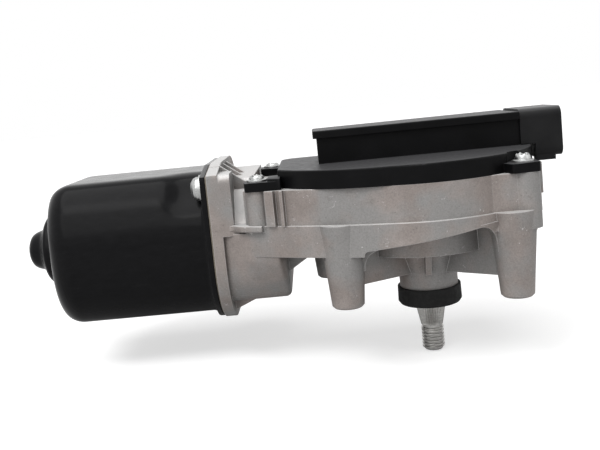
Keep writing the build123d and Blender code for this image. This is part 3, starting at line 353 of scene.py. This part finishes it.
def cast_aluminium():
    """As-cast aluminium: warm grey, grainy, with pits, bright worn flecks and brighter edges;
    painted shade in hollows and painted light on up-facing tops.
    """
    g = Graph("cast_aluminium")
    broad = g.ramp(g.noise(13.0, 4.0), [(0.30, (0.215, 0.186, 0.172)),
                                        (0.55, (0.268, 0.236, 0.220)),
                                        (0.78, (0.335, 0.300, 0.283))])
    grain = g.ramp(g.noise(0.5, 3.0, 0.7), [(0.25, (0.80, 0.80, 0.80)), (0.50, (1.0, 1.0, 1.0)),
                                            (0.75, (1.16, 1.16, 1.16))])
    grey = g.spread(g.noise(19.0, 3.0), 0.0, 0.85, 0.44, 0.60)
    colour = g.mix(grey, broad, (0.240, 0.238, 0.234))
    colour = g.mix(1.0, colour, grain, "MULTIPLY")
    # painted shade: colour darkened where ambient occlusion finds hollows, corners and crevices
    painted_crevice_shade = g.spread(g.open_sky(4.0), 0.62, 1.0, 0.30, 0.90)
    colour = g.mix(1.0, colour, painted_crevice_shade, "MULTIPLY")
    pits = g.spread(g.cells(2.6), 1.0, 0.0, 0.05, 0.11)
    colour = g.mix(g.spread(pits, 0.0, 0.40, 0.0, 1.0), colour, (0.10, 0.09, 0.085))
    worn = g.spread(g.noise(3.4, 6.0, 0.8), 0.0, 1.0, 0.63, 0.68)
    colour = g.mix(worn, colour, (0.56, 0.55, 0.54))
    stains = g.spread(g.noise(5.5, 6.0, 0.75), 0.0, 0.55, 0.60, 0.72)
    colour = g.mix(stains, colour, (0.135, 0.118, 0.108))
    edges = g.spread(g.edge_wear(0.45), 0.0, 0.55, 0.15, 0.60)
    colour = g.mix(edges, colour, (0.60, 0.585, 0.575))
    # painted light: up-facing surfaces mixed towards near white, as if lit from above
    colour = g.mix(g.spread(g.up_facing(), 0.0, 0.75, 0.30, 0.85), colour, (0.60, 0.595, 0.59))
    roughness = g.spread(g.noise(0.8, 3.0), 0.44, 0.60)
    normal = g.bump(g.noise(0.5, 3.0, 0.7), 0.030, g.soft_edges(0.45))
    normal = g.bump(g.noise(4.0, 2.0), 0.09, normal)
    normal = g.bump(g.spread(pits, 0.0, -1.0, 0.0, 1.0), 0.05, normal)
    return g.set(Base_Color=colour, Roughness=roughness, Normal=normal, Metallic=0.45)


def moulding(name, dark, light, roughness, grain_mm, grain_depth, specular=0.5):
    """Moulded plastic with a fine spark-eroded grain, and painted light on up-facing tops."""
    g = Graph(name)
    colour = g.ramp(g.noise(9.0, 5.0), [(0.35, dark), (0.70, light)])
    edges = g.spread(g.edge_wear(0.30), 0.0, 0.35, 0.10, 0.60)
    paler = tuple(min(1.0, 2.0 * value + 0.005) for value in light)
    colour = g.mix(edges, colour, paler)
    # painted light: up-facing surfaces mixed towards a paler colour, as if lit from above
    painted_top_light = tuple(4.0 * value + 0.026 for value in light)
    colour = g.mix(g.spread(g.up_facing(), 0.0, 1.0, 0.6, 0.95), colour, painted_top_light)
    rough = g.spread(g.noise(2.0, 4.0), roughness - 0.05, roughness + 0.07)
    normal = g.bump(g.noise(grain_mm, 2.0), grain_depth, g.soft_edges(0.30))
    return g.set(Base_Color=colour, Roughness=rough, Normal=normal, Specular_IOR_Level=specular)


def black_rubber():
    """Matt rubber with a faint bloom."""
    g = Graph("black_rubber")
    colour = g.ramp(g.noise(2.4, 6.0, 0.7), [(0.35, (0.006, 0.006, 0.006)),
                                             (0.68, (0.011, 0.011, 0.011)),
                                             (0.85, (0.030, 0.030, 0.030))])
    normal = g.bump(g.noise(0.6, 3.0), 0.02, g.soft_edges(0.4))
    return g.set(Base_Color=colour, Roughness=g.spread(g.noise(1.5), 0.62, 0.80), Normal=normal,
                 Specular_IOR_Level=0.25)


def metal(name, dark, light, roughness, brushed=(1, 1, 1), spots=0.0):
    """Bare or plated metal with fine directional marks."""
    g = Graph(name)
    marks = g.noise(0.35, 3.0, 0.6, stretch=brushed)
    colour = g.ramp(marks, [(0.30, dark), (0.70, light)])
    if spots:
        stain = g.spread(g.noise(1.8, 5.0, 0.7), 0.0, spots, 0.58, 0.75)
        colour = g.mix(stain, colour, tuple(0.45 * value for value in dark))
    rough = g.spread(g.noise(1.2, 4.0), roughness - 0.06, roughness + 0.08)
    normal = g.bump(marks, 0.012, g.soft_edges(0.2))
    return g.set(Base_Color=colour, Roughness=rough, Normal=normal, Metallic=1.0)


def copper_winding():
    """Enamelled copper turns."""
    g = Graph("copper")
    wave = g.add("ShaderNodeTexWave", wave_type="RINGS", rings_direction="X")
    wave.inputs["Scale"].default_value = 320.0
    wave.inputs["Distortion"].default_value = 2.0
    g.link(g.coords, wave.inputs["Vector"])
    colour = g.ramp(wave.outputs["Fac"], [(0.1, (0.20, 0.055, 0.020)), (0.6, (0.55, 0.21, 0.09)),
                                          (0.95, (0.72, 0.34, 0.17))])
    normal = g.bump(wave.outputs["Fac"], 0.12)
    return g.set(Base_Color=colour, Roughness=0.34, Normal=normal, Metallic=0.9)


def stacked_sheet():
    """Edges of the core's laminations."""
    g = Graph("lamination_steel")
    wave = g.add("ShaderNodeTexWave", wave_type="BANDS", bands_direction="X")
    wave.inputs["Scale"].default_value = 320.0
    wave.inputs["Distortion"].default_value = 0.4
    g.link(g.coords, wave.inputs["Vector"])
    colour = g.ramp(wave.outputs["Fac"], [(0.1, (0.10, 0.10, 0.11)), (0.7, (0.32, 0.32, 0.33))])
    return g.set(Base_Color=colour, Roughness=g.spread(g.noise(1.0), 0.38, 0.55),
                 Normal=g.bump(wave.outputs["Fac"], 0.06), Metallic=0.9)


def grainy(name, dark, light, size_mm, roughness, metallic=0.0):
    """Sintered, pressed or fibrous material with a visible grain."""
    g = Graph(name)
    grain = g.noise(size_mm, 5.0, 0.75)
    colour = g.ramp(grain, [(0.30, dark), (0.70, light)])
    return g.set(Base_Color=colour,
                 Roughness=g.spread(g.noise(2.0), roughness - 0.06, roughness + 0.06),
                 Normal=g.bump(grain, 0.03, g.soft_edges(0.2)), Metallic=metallic)


MATERIALS = {
    "can_paint": can_paint(),
    "cast_aluminium": cast_aluminium(),
    "black_moulding": moulding("black_moulding", (0.0018, 0.0018, 0.0020), (0.0036, 0.0036, 0.0040),
                               0.40, 0.35, 0.014, 0.09),
    "connector_moulding": moulding("connector_moulding", (0.005, 0.005, 0.0055),
                                   (0.010, 0.010, 0.0105), 0.38, 0.30, 0.012, 0.14),
    "brown_moulding": moulding("brown_moulding", (0.050, 0.026, 0.014), (0.080, 0.042, 0.024),
                               0.48, 0.40, 0.020),
    "natural_moulding": moulding("natural_moulding", (0.62, 0.58, 0.48), (0.74, 0.70, 0.60),
                                 0.40, 0.40, 0.010),
    "board_green": moulding("board_green", (0.010, 0.070, 0.030), (0.020, 0.110, 0.050),
                            0.35, 0.60, 0.010),
    "black_rubber": black_rubber(),
    "zinc": metal("zinc", (0.36, 0.37, 0.37), (0.58, 0.58, 0.57), 0.32, spots=0.55),
    "ground_steel": metal("ground_steel", (0.34, 0.335, 0.325), (0.62, 0.61, 0.59), 0.34,
                          brushed=(0.2, 0.2, 2.5), spots=0.6),
    "spring_steel": metal("spring_steel", (0.34, 0.34, 0.35), (0.52, 0.52, 0.52), 0.34),
    "tinned_brass": metal("tinned_brass", (0.58, 0.54, 0.42), (0.80, 0.77, 0.66), 0.28),
    "copper": copper_winding(),
    "lamination_steel": stacked_sheet(),
    "bronze": grainy("bronze", (0.22, 0.14, 0.07), (0.42, 0.29, 0.16), 0.3, 0.45, 0.9),
    "ferrite": grainy("ferrite", (0.035, 0.035, 0.038), (0.085, 0.085, 0.090), 0.4, 0.55),
    "carbon": grainy("carbon", (0.020, 0.018, 0.017), (0.070, 0.055, 0.045), 0.3, 0.60, 0.2),
    "gasket_paper": grainy("gasket_paper", (0.10, 0.085, 0.065), (0.20, 0.175, 0.14), 0.5, 0.75),
}


def dress_frame():
    """Gives every CAD node the material of its slot."""
    for entry in frame["record"]["subparts"]:
        node = frame["nodes"][entry["node"]]
        node.data.materials.clear()
        node.data.materials.append(MATERIALS[entry["material_slot"]])


# ---------------------------------------------------------------- mesh helpers
def new_piece(name, vertices, faces, slot, body, replaced=()):
    """Mesh in millimetres as a piece that rides on a body and may stand for CAD nodes."""
    mesh = bpy.data.meshes.new(name)
    mesh.from_pydata([tuple(MM * c for c in vertex) for vertex in vertices], [], faces)
    build = bmesh.new()
    build.from_mesh(mesh)
    bmesh.ops.recalc_face_normals(build, faces=build.faces)
    build.to_mesh(mesh)
    build.free()
    piece = bpy.data.objects.new(name, mesh)
    bpy.context.scene.collection.objects.link(piece)
    for polygon in mesh.polygons:
        polygon.use_smooth = True
    mesh.set_sharp_from_angle(angle=math.radians(SHARP_ANGLE))
    mesh.materials.append(MATERIALS[slot])
    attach(piece, body)
    if replaced:
        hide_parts(*replaced)
    return piece


def circle(count):
    """Angles evenly round a full turn."""
    return [2 * math.pi * i / count for i in range(count)]


def ring_grid(rows, count, first=0):
    """Quads between successive rings of count vertices, starting at vertex first."""
    faces = []
    for row in range(rows - 1):
        for i in range(count):
            j = (i + 1) % count
            a = first + row * count
            b = a + count
            faces.append((a + i, a + j, b + j, b + i))
    return faces


def turned(faces):
    """Faces wound the other way round."""
    return [tuple(reversed(face)) for face in faces]


def lofted(name, rings, slot, body, replaced=()):
    """Closed skin through rings of equal length, capped at both ends."""
    count = len(rings[0])
    last = (len(rings) - 1) * count
    faces = ring_grid(len(rings), count)
    faces.append(tuple(range(count)))
    faces.append(tuple(last + i for i in range(count)))
    new_piece(name, [vertex for ring in rings for vertex in ring], faces, slot, body, replaced)


def steps(start, stop, count):
    """Evenly spaced values from start to stop."""
    return [start + (stop - start) * i / count for i in range(count + 1)]


def smooth_step(value):
    """Eases from 0 to 1, level at both ends."""
    value = min(1.0, max(0.0, value))
    return value * value * (3 - 2 * value)


def zigzag(value):
    """1 at whole values and 0 halfway between them, straight on the way."""
    return abs((value % 1.0) * 2 - 1)


def sink(radius, along):
    """How far a quarter round has sunk, at a distance along it."""
    return radius - math.sqrt(max(0.0, radius**2 - max(0.0, along)**2))


def bend(start, corner, end, t):
    """Point at t, 0 to 1, on the curve from start to end that is drawn towards corner."""
    return tuple((1 - t)**2 * a + 2 * t * (1 - t) * c + t * t * b
                 for a, c, b in zip(start, corner, end))


def rounded(points, reach, count=5):
    """Polyline with each inner corner replaced by a short curve."""
    line = [points[0]]
    for before, corner, after in zip(points, points[1:], points[2:]):
        sides = []
        for other in (before, after):
            length = math.dist(corner, other)
            part = min(reach, 0.45 * length) / length
            sides.append([c + (o - c) * part for c, o in zip(corner, other)])
        line += [bend(sides[0], corner, sides[1], k / count) for k in range(count + 1)]
    line.append(points[-1])
    return line


# ---------------------------------------------------------------- motor can
def can_radius(angle, x, wall=0.0):
    """Reach of the can's side from its axis: round with flats, sunk beside the flange screws."""
    flat = CAN_HALF_HEIGHT / max(0.05, abs(math.sin(angle)))
    power = CAN_EDGE_SHARPNESS
    side = CAN_RADIUS + CAN_SWELL * math.sin(2 * angle)**2
    side = (side**-power + flat**-power)**(-1 / power)
    along = smooth_step((x - SCALLOP_END_X) / (SCALLOP_START_X - SCALLOP_END_X))
    for centre in SCALLOP_ANGLES:
        turn = abs((math.degrees(angle) - centre + 180) % 360 - 180) / SCALLOP_HALF_ANGLE
        if turn < 1:
            side -= SCALLOP_DEPTH * along * math.cos(turn * math.pi / 2)**2
    return side - wall


def flange_reach(angle):
    """Reach of the flange plate's edge from the motor axis."""
    half_y, half_z = FLANGE_HALF_SIZE
    y, z = math.cos(angle), math.sin(angle)
    reach = min(half_y / max(1e-6, abs(y)), half_z / max(1e-6, abs(z)))
    ear = y * z < 0
    radius = FLANGE_EAR_ROUND if ear else FLANGE_BIG_ROUND
    centre = (half_y - radius, half_z - radius)
    if abs(y) * reach > centre[0] and abs(z) * reach > centre[1]:
        along = abs(y) * centre[0] + abs(z) * centre[1]
        reach = along + math.sqrt(max(0.0, along**2 - centre[0]**2 - centre[1]**2 + radius**2))
    if ear:
        slope = FLANGE_FALL[1] / FLANGE_FALL[0]
        height_at_middle = half_z + slope * (half_y - FLANGE_FALL[0])
        reach = min(reach, height_at_middle / (abs(z) + slope * abs(y)))
    return reach


def round_row(x, radius):
    """Row of the can's skin at x, as a plain circle."""
    return x, lambda angle: radius


def side_row(x, side_x, inset):
    """Row at x, set in from the can's side as it is at side_x."""
    return x, lambda angle: can_radius(angle, side_x, inset)


def flange_row(x, inset):
    """Row at x, set in from the flange plate's edge."""
    return x, lambda angle: flange_reach(angle) - inset


def motor_can():
    """Drawn can in one skin: flange plate, flat-sided body, domed end and bearing cup."""
    corner_x = CAN_END_X + CAN_CORNER
    inner_corner = CAN_CORNER - CAN_WALL
    rows = [round_row(x, radius) for x, radius in reversed(CAN_BORE)]
    for turn in steps(math.pi / 2, 0.0, 5):
        inset = CAN_WALL + inner_corner * (1 - math.cos(turn))
        rows.append(side_row(corner_x - inner_corner * math.sin(turn), corner_x, inset))
    for x in steps(SCALLOP_END_X, SCALLOP_START_X, 8) + [FLANGE_RIGHT_X]:
        rows.append(side_row(x, x, CAN_WALL))
    rows += [flange_row(FLANGE_RIGHT_X, FLANGE_EDGE_BREAK),
             flange_row(FLANGE_RIGHT_X - FLANGE_EDGE_BREAK, 0.0)]
    for along, inset in ((1.0, 0.0), (0.2, 0.3), (0.0, 1.0)):
        x = FLANGE_LEFT_X + FLANGE_EDGE_ROUND * along
        rows.append(flange_row(x, FLANGE_EDGE_ROUND * inset))
    for along, proud in ((0, 1), (1 / 6, 1 / 2), (1 / 2, 1 / 6), (1, 0)):
        x = FLANGE_LEFT_X - CAN_ROOT_FILLET * along
        rows.append(side_row(x, x, -CAN_ROOT_FILLET * proud))
    sides = steps(SCALLOP_START_X + 2.0, SCALLOP_END_X - 0.5, 14)
    sides += steps(SCALLOP_END_X - 3.0, corner_x + 1.0, 5)
    rows += [side_row(x, x, 0.0) for x in sides]
    for turn in steps(0.0, math.pi / 2, 18):
        inset = CAN_CORNER * (1 - math.cos(turn))
        rows.append(side_row(corner_x - CAN_CORNER * math.sin(turn), corner_x, inset))
    rows += [round_row(x, radius) for x, radius in rounded(CAN_OUTLINE, CAN_OUTLINE_ROUND)]
    axis_y, axis_z = MOTOR_AXIS
    rings = []
    for x, reach in rows:
        ring = []
        for turn in circle(CAN_SEGMENTS):
            radius = reach(turn)
            ring.append((x, axis_y + radius * math.cos(turn), axis_z + radius * math.sin(turn)))
        rings.append(ring)
    lofted("can_shell", rings, "can_paint", "housing", ("motor_can",))


# ---------------------------------------------------------------- casting blends
def wall_y(x):
    """Near wall of the deck beside the motor flange."""
    return HOUSING_WALL_START[1] + HOUSING_WALL_SLOPE * (x - HOUSING_WALL_START[0])


def barrel_y(z):
    """Near side of the barrel under the deck."""
    return BARREL_NEAR_Y + sink(BARREL_ROUND, BARREL_BOTTOM_Z + BARREL_ROUND - z)


def wall_fairing():
    """The deck's near wall flowing into the flange and down into the barrel."""
    end = BARREL_RIGHT_X - FAIRING_END_GAP
    round_start = BARREL_RIGHT_X - FAIRING_END_ROUND
    heights = steps(FAIRING_FOOT_Z, FAIRING_TOP_Z, 24)
    rings = []
    for x in steps(FAIRING_LEFT_X, round_start, 18) + steps(round_start + 0.4, end, 14):
        stand = BARREL_NEAR_Y - wall_y(x)
        stand = 0.5 * (stand + math.sqrt(stand**2 + FAIRING_START_BLEND**2))
        tail = 1.0 - sink(1.0, (x - round_start) / FAIRING_END_ROUND)
        sunk = sink(BARREL_END_ROUND, x - BARREL_RIGHT_X + BARREL_END_ROUND)
        ring = []
        for z in heights:
            rise = smooth_step((z - FAIRING_FOOT_Z) / (WALL_BOTTOM_Z - FAIRING_FOOT_Z))
            ring.append((x, barrel_y(z) + sunk - (stand * rise + SKIN_GAP) * tail, z))
        ring += [(x, FAIRING_BACK_Y, FAIRING_TOP_Z), (x, FAIRING_BACK_Y, FAIRING_FOOT_Z)]
        rings.append(ring)
    lofted("wall_fairing", rings, "cast_aluminium", "housing")


def wall_ledge():
    """Ledge with a rounded end, standing proud below the brush chamber's chute."""
    low, high = LEDGE_Z
    rings = []
    round_start = LEDGE_END_X - LEDGE_END_ROUND
    for x in steps(LEDGE_START_X, round_start, 14) + steps(round_start + 0.2, LEDGE_END_X, 8):
        stand = LEDGE_STAND * smooth_step((x - LEDGE_START_X) / LEDGE_START_TAPER)
        near = min(LEDGE_START_Y, wall_y(x)) - stand + sink(LEDGE_END_ROUND, x - round_start)
        rings.append([(x, near, low + LEDGE_FOOT_BREAK), (x, near, high - LEDGE_TOP_ROUND),
                      (x, near + 0.3 * LEDGE_TOP_ROUND, high - 0.3 * LEDGE_TOP_ROUND),
                      (x, near + LEDGE_TOP_ROUND, high), (x, LEDGE_BACK_Y, high),
                      (x, LEDGE_BACK_Y, low), (x, near + LEDGE_FOOT_BREAK, low)])
    lofted("wall_ledge", rings, "cast_aluminium", "housing")


def arch_blend(name, corners, post_y):
    """Hollow blend that fills a corner under the deck's arch, from the wall back to a post."""
    start, corner, end = corners
    side = BLEND_OVERLAP if end[0] > start[0] else -BLEND_OVERLAP
    hidden = ((start[0], start[1] + BLEND_OVERLAP), (corner[0] + side, corner[1] + BLEND_OVERLAP),
              (end[0] + side, end[1]))
    rings = []
    for t in steps(0.0, 1.0, 16):
        x, z = bend(start, corner, end, t)
        first, second, part = (*hidden[:2], 2 * t) if t < 0.5 else (*hidden[1:], 2 * t - 1)
        back_x, back_z = (a + (b - a) * part for a, b in zip(first, second))
        wall = -math.sqrt(HOUSING_RADIUS**2 - x**2)
        near = wall + (post_y - wall) * smooth_step(t)**2 + SKIN_GAP
        rings.append([(x, near, z), (back_x, near, back_z), (back_x, BLEND_BACK_Y, back_z),
                      (x, BLEND_BACK_Y, z)])
    lofted(name, rings, "cast_aluminium", "housing")


def cover_shoulder():
    """Corner of the cover's skirt beside its near left screw."""
    outline = rounded(COVER_SHOULDER, COVER_SHOULDER_ROUND, 4)
    middle_x, middle_y = COVER_SHOULDER_MIDDLE
    low, high = COVER_SHOULDER_Z
    rings = []
    for z, inset in [(low, 0.0)] + [(high - depth, share) for depth, share in COVER_SHOULDER_EDGE]:
        rings.append([(x + (middle_x - x) * inset, y + (middle_y - y) * inset, z)
                      for x, y in outline[:-1]])
    lofted("cover_shoulder", rings, "black_moulding", "housing")


# ---------------------------------------------------------------- output shaft
def shaft_radius(z, angle):
    """Radius of the shaft's surface: plain, grooved, serrated taper, relief and thread."""
    if z > CIRCLIP_GROOVE[0] or TAPER_TOP[0] < z < CIRCLIP_GROOVE[1]:
        return SHAFT_RADIUS
    if z >= CIRCLIP_GROOVE[1]:
        return CIRCLIP_GROOVE[2]
    if z >= TAPER_END[0]:
        run = max(0.0, (TAPER_SHOULDER_Z - z) / (TAPER_SHOULDER_Z - TAPER_END[0]))
        cone = TAPER_TOP[1] + (TAPER_END[1] - TAPER_TOP[1]) * run
        fade = min(1.0, max(0.0, (TAPER_TOP[0] - z) / SERRATION_FADE_IN),
                   (z - TAPER_END[0]) / SERRATION_FADE_OUT + 0.2)
        tooth = zigzag(angle * SERRATION_COUNT / (2 * math.pi))
        return cone - SERRATION_DEPTH * fade * tooth
    if z >= RELIEF[1]:
        return RELIEF[2]
    if z >= THREAD_END_Z:
        fade = max(0.0, min(1.0, (THREAD_START_Z - z) / THREAD_FADE + 0.1,
                            (z - THREAD_END_Z) / THREAD_FADE + 0.2))
        turn = zigzag(z / THREAD_PITCH + angle / (2 * math.pi))
        groove = min(1.0, max(0.0, THREAD_FLANK_SLOPE * turn - THREAD_CREST))
        return THREAD_RADIUS - THREAD_DEPTH * groove * fade
    run = (THREAD_END_Z - z) / (THREAD_END_Z - SHAFT_TIP[0])
    return THREAD_RADIUS + (SHAFT_TIP[1] - THREAD_RADIUS) * run


def output_shaft():
    """Shaft with its serrated taper and rolled thread."""
    segments = SERRATION_COUNT * 6
    edge = 0.01
    heights = [SHAFT_TOP_Z, CIRCLIP_GROOVE[0] + edge, CIRCLIP_GROOVE[0], CIRCLIP_GROOVE[1],
               CIRCLIP_GROOVE[1] - edge, TAPER_TOP[0] + 0.4]
    heights += steps(TAPER_TOP[0], TAPER_END[0], 14)
    heights += [RELIEF[0], RELIEF[1]]
    heights += steps(THREAD_START_Z + 0.2, THREAD_END_Z, 78)
    heights += [SHAFT_TIP[0]]
    vertices = []
    for z in heights:
        for angle in circle(segments):
            radius = shaft_radius(z, angle)
            vertices.append((radius * math.cos(angle), radius * math.sin(angle), z))
    faces = turned(ring_grid(len(heights), segments))
    top = len(vertices)
    vertices += [(0, 0, SHAFT_TOP_Z), (0, 0, SHAFT_TIP[0])]
    last = (len(heights) - 1) * segments
    for i in range(segments):
        j = (i + 1) % segments
        faces.append((i, j, top))
        faces.append((last + j, last + i, top + 1))
    piece = new_piece("output_shaft_cut", vertices, faces, "ground_steel", "output",
                      ("output_shaft",))
    for polygon in piece.data.polygons[-2 * segments:]:
        polygon.use_smooth = False


# ---------------------------------------------------------------- cover screws
def lobed_recess(radius, angle):
    """Depth of a six-lobe drive recess at a point of the head, 0 to 1."""
    reach = RECESS_RADIUS + RECESS_LOBE * math.cos(6 * angle)
    return min(1.0, max(0.0, (reach - radius) / RECESS_WALL))


def head_height(radius, highest):
    """Height of the screw head's surface above its seat."""
    if radius > HEAD_RADIUS - HEAD_RIM_WIDTH:
        return HEAD_RIM_HEIGHT + HEAD_RIM_RISE * (HEAD_RADIUS - radius) / HEAD_RIM_WIDTH
    crown = radius / HEAD_CROWN_RADIUS
    low = HEAD_RIM_HEIGHT + HEAD_RIM_RISE
    return low + (highest - low) * math.sqrt(max(0.0, 1 - crown**4 * 0.98))


def cover_screws():
    """Flanged pan heads on plain shanks, each with its six-lobe recess at its own turn."""
    segments = 48
    vertices = []
    faces = []
    rim = HEAD_RADIUS - HEAD_RIM_WIDTH
    radii = steps(0.05, HEAD_CROWN_RADIUS - 0.1, 24) + steps(HEAD_CROWN_RADIUS, rim - 0.02, 8)
    radii += [rim, HEAD_RADIUS - 0.3, HEAD_RADIUS]
    shank = ((HEAD_RADIUS, SCREW_SEAT_Z), (SCREW_RADIUS, SCREW_SEAT_Z),
             (SCREW_RADIUS, SCREW_END_Z + SCREW_TIP_BREAK),
             (SCREW_RADIUS - SCREW_TIP_BREAK, SCREW_END_Z))
    for turn, (x, y, highest) in enumerate(COVER_SCREWS):
        first = len(vertices)
        for radius in radii:
            for angle in circle(segments):
                sink = RECESS_SHARE * highest * lobed_recess(radius, angle + turn)
                z = SCREW_SEAT_Z + head_height(radius, highest) - sink
                vertices.append((x + radius * math.cos(angle), y + radius * math.sin(angle), z))
        for radius, z in shank:
            for angle in circle(segments):
                vertices.append((x + radius * math.cos(angle), y + radius * math.sin(angle), z))
        rows = len(radii) + len(shank)
        faces += ring_grid(rows, segments, first)
        faces.append(tuple(first + i for i in reversed(range(segments))))
        last = first + (rows - 1) * segments
        faces.append(tuple(last + i for i in range(segments)))
    new_piece("cover_screw_set", vertices, turned(faces), "zinc", "housing", ("cover_screws",))


# ---------------------------------------------------------------- camera, light and floor
def camera():
    """Camera at the photograph's place, turn and focal length."""
    yaw, pitch, roll = (math.radians(a) for a in (CAMERA_YAW, CAMERA_PITCH, CAMERA_ROLL))
    ahead = Vector((math.sin(yaw) * math.cos(pitch), math.cos(yaw) * math.cos(pitch),
                    -math.sin(pitch)))
    level = Vector((math.cos(yaw), -math.sin(yaw), 0))
    up = level.cross(ahead)
    right = level * math.cos(roll) - up * math.sin(roll)
    top = up * math.cos(roll) + level * math.sin(roll)
    data = bpy.data.cameras.new("camera")
    data.sensor_width = SENSOR_WIDTH
    data.lens = SENSOR_WIDTH * FOCAL_PIXELS / IMAGE_WIDTH
    data.shift_y = -(IMAGE_HEIGHT / 2 - CENTRE_ROW) / IMAGE_WIDTH
    data.clip_start = 0.01
    eye = bpy.data.objects.new("camera", data)
    bpy.context.scene.collection.objects.link(eye)
    eye.matrix_world = Matrix((
        (right.x, top.x, -ahead.x, CAMERA_PLACE[0] * MM),
        (right.y, top.y, -ahead.y, CAMERA_PLACE[1] * MM),
        (right.z, top.z, -ahead.z, CAMERA_PLACE[2] * MM),
        (0, 0, 0, 1)))
    bpy.context.scene.camera = eye


def window_lamp():
    """Soft rectangular lamp, left out of reflections."""
    data = bpy.data.lights.new("window", "AREA")
    data.shape = "RECTANGLE"
    data.size, data.size_y = (MM * side for side in WINDOW_SIZE)
    data.energy = WINDOW_WATTS
    light = bpy.data.objects.new("window", data)
    bpy.context.scene.collection.objects.link(light)
    light.visible_glossy = False
    place, target = MM * Vector(WINDOW_PLACE), MM * Vector(WINDOW_TARGET)
    light.location = place
    light.rotation_euler = (target - place).to_track_quat("-Z", "Y").to_euler()


def sky_lamp(name, towards, spread_degrees, strength):
    """Far, wide lamp that lights everything evenly from one side."""
    data = bpy.data.lights.new(name, "SUN")
    data.angle = math.radians(spread_degrees)
    data.energy = strength
    light = bpy.data.objects.new(name, data)
    bpy.context.scene.collection.objects.link(light)
    light.rotation_euler = Vector(towards).to_track_quat("-Z", "Y").to_euler()


def world():
    """Soft even light that shows as plain white to the camera and in reflections."""
    data = bpy.data.worlds.new("studio")
    data.use_nodes = True
    nodes = data.node_tree.nodes
    link = data.node_tree.links.new
    soft = nodes["Background"]
    white = nodes.new("ShaderNodeBackground")
    for background, strength in ((soft, WORLD_STRENGTH), (white, 1.0)):
        background.inputs["Color"].default_value = (1, 1, 1, 1)
        background.inputs["Strength"].default_value = strength
    path = nodes.new("ShaderNodeLightPath")
    plain = path.outputs["Is Camera Ray"]
    for ray in ("Is Glossy Ray", "Is Transmission Ray"):
        either = nodes.new("ShaderNodeMath")
        either.operation = "MAXIMUM"
        link(plain, either.inputs[0])
        link(path.outputs[ray], either.inputs[1])
        plain = either.outputs[0]
    blend = nodes.new("ShaderNodeMixShader")
    link(plain, blend.inputs[0])
    link(soft.outputs[0], blend.inputs[1])
    link(white.outputs[0], blend.inputs[2])
    link(blend.outputs[0], nodes["World Output"].inputs["Surface"])
    bpy.context.scene.world = data


def floor():
    """Plain pale floor just under the shaft's tip, lifted to white for the camera alone."""
    mesh = bpy.data.meshes.new("floor")
    build = bmesh.new()
    bmesh.ops.create_grid(build, x_segments=1, y_segments=1, size=FLOOR_REACH * MM)
    build.to_mesh(mesh)
    build.free()
    plane = bpy.data.objects.new("floor", mesh)
    bpy.context.scene.collection.objects.link(plane)
    plane.location = (0, 0, cad_box[0][2] - FLOOR_GAP * MM)
    g = Graph("floor_paper")
    tone = g.ramp(g.noise(400.0, 2.0), [(0.3, (0.52, 0.52, 0.52)), (0.7, (0.56, 0.56, 0.56))])
    g.set(Base_Color=tone, Roughness=0.9, Specular_IOR_Level=0.0)
    path = g.add("ShaderNodeLightPath")
    seen = g.add("ShaderNodeMath", operation="MULTIPLY")
    g.link(path.outputs["Is Camera Ray"], seen.inputs[0])
    seen.inputs[1].default_value = FLOOR_LIFT
    lift = g.add("ShaderNodeEmission")
    g.link(seen.outputs[0], lift.inputs["Strength"])
    total = g.add("ShaderNodeAddShader")
    g.link(g.shader.outputs[0], total.inputs[0])
    g.link(lift.outputs[0], total.inputs[1])
    g.link(total.outputs[0], g.tree.nodes["Material Output"].inputs["Surface"])
    mesh.materials.append(g.material)


def studio():
    """World, floor and lamps."""
    world()
    floor()
    for sky in SKY_LAMPS:
        sky_lamp(*sky)
    window_lamp()


dress_frame()
motor_can()
wall_fairing()
wall_ledge()
arch_blend("arch_right_blend", ARCH_RIGHT_BLEND, ARCH_RIGHT_POST_Y)
arch_blend("arch_left_blend", ARCH_LEFT_BLEND, ARCH_LEFT_POST_Y)
cover_shoulder()
output_shaft()
cover_screws()
camera()
studio()
bpy.context.scene.view_settings.view_transform = "Standard"
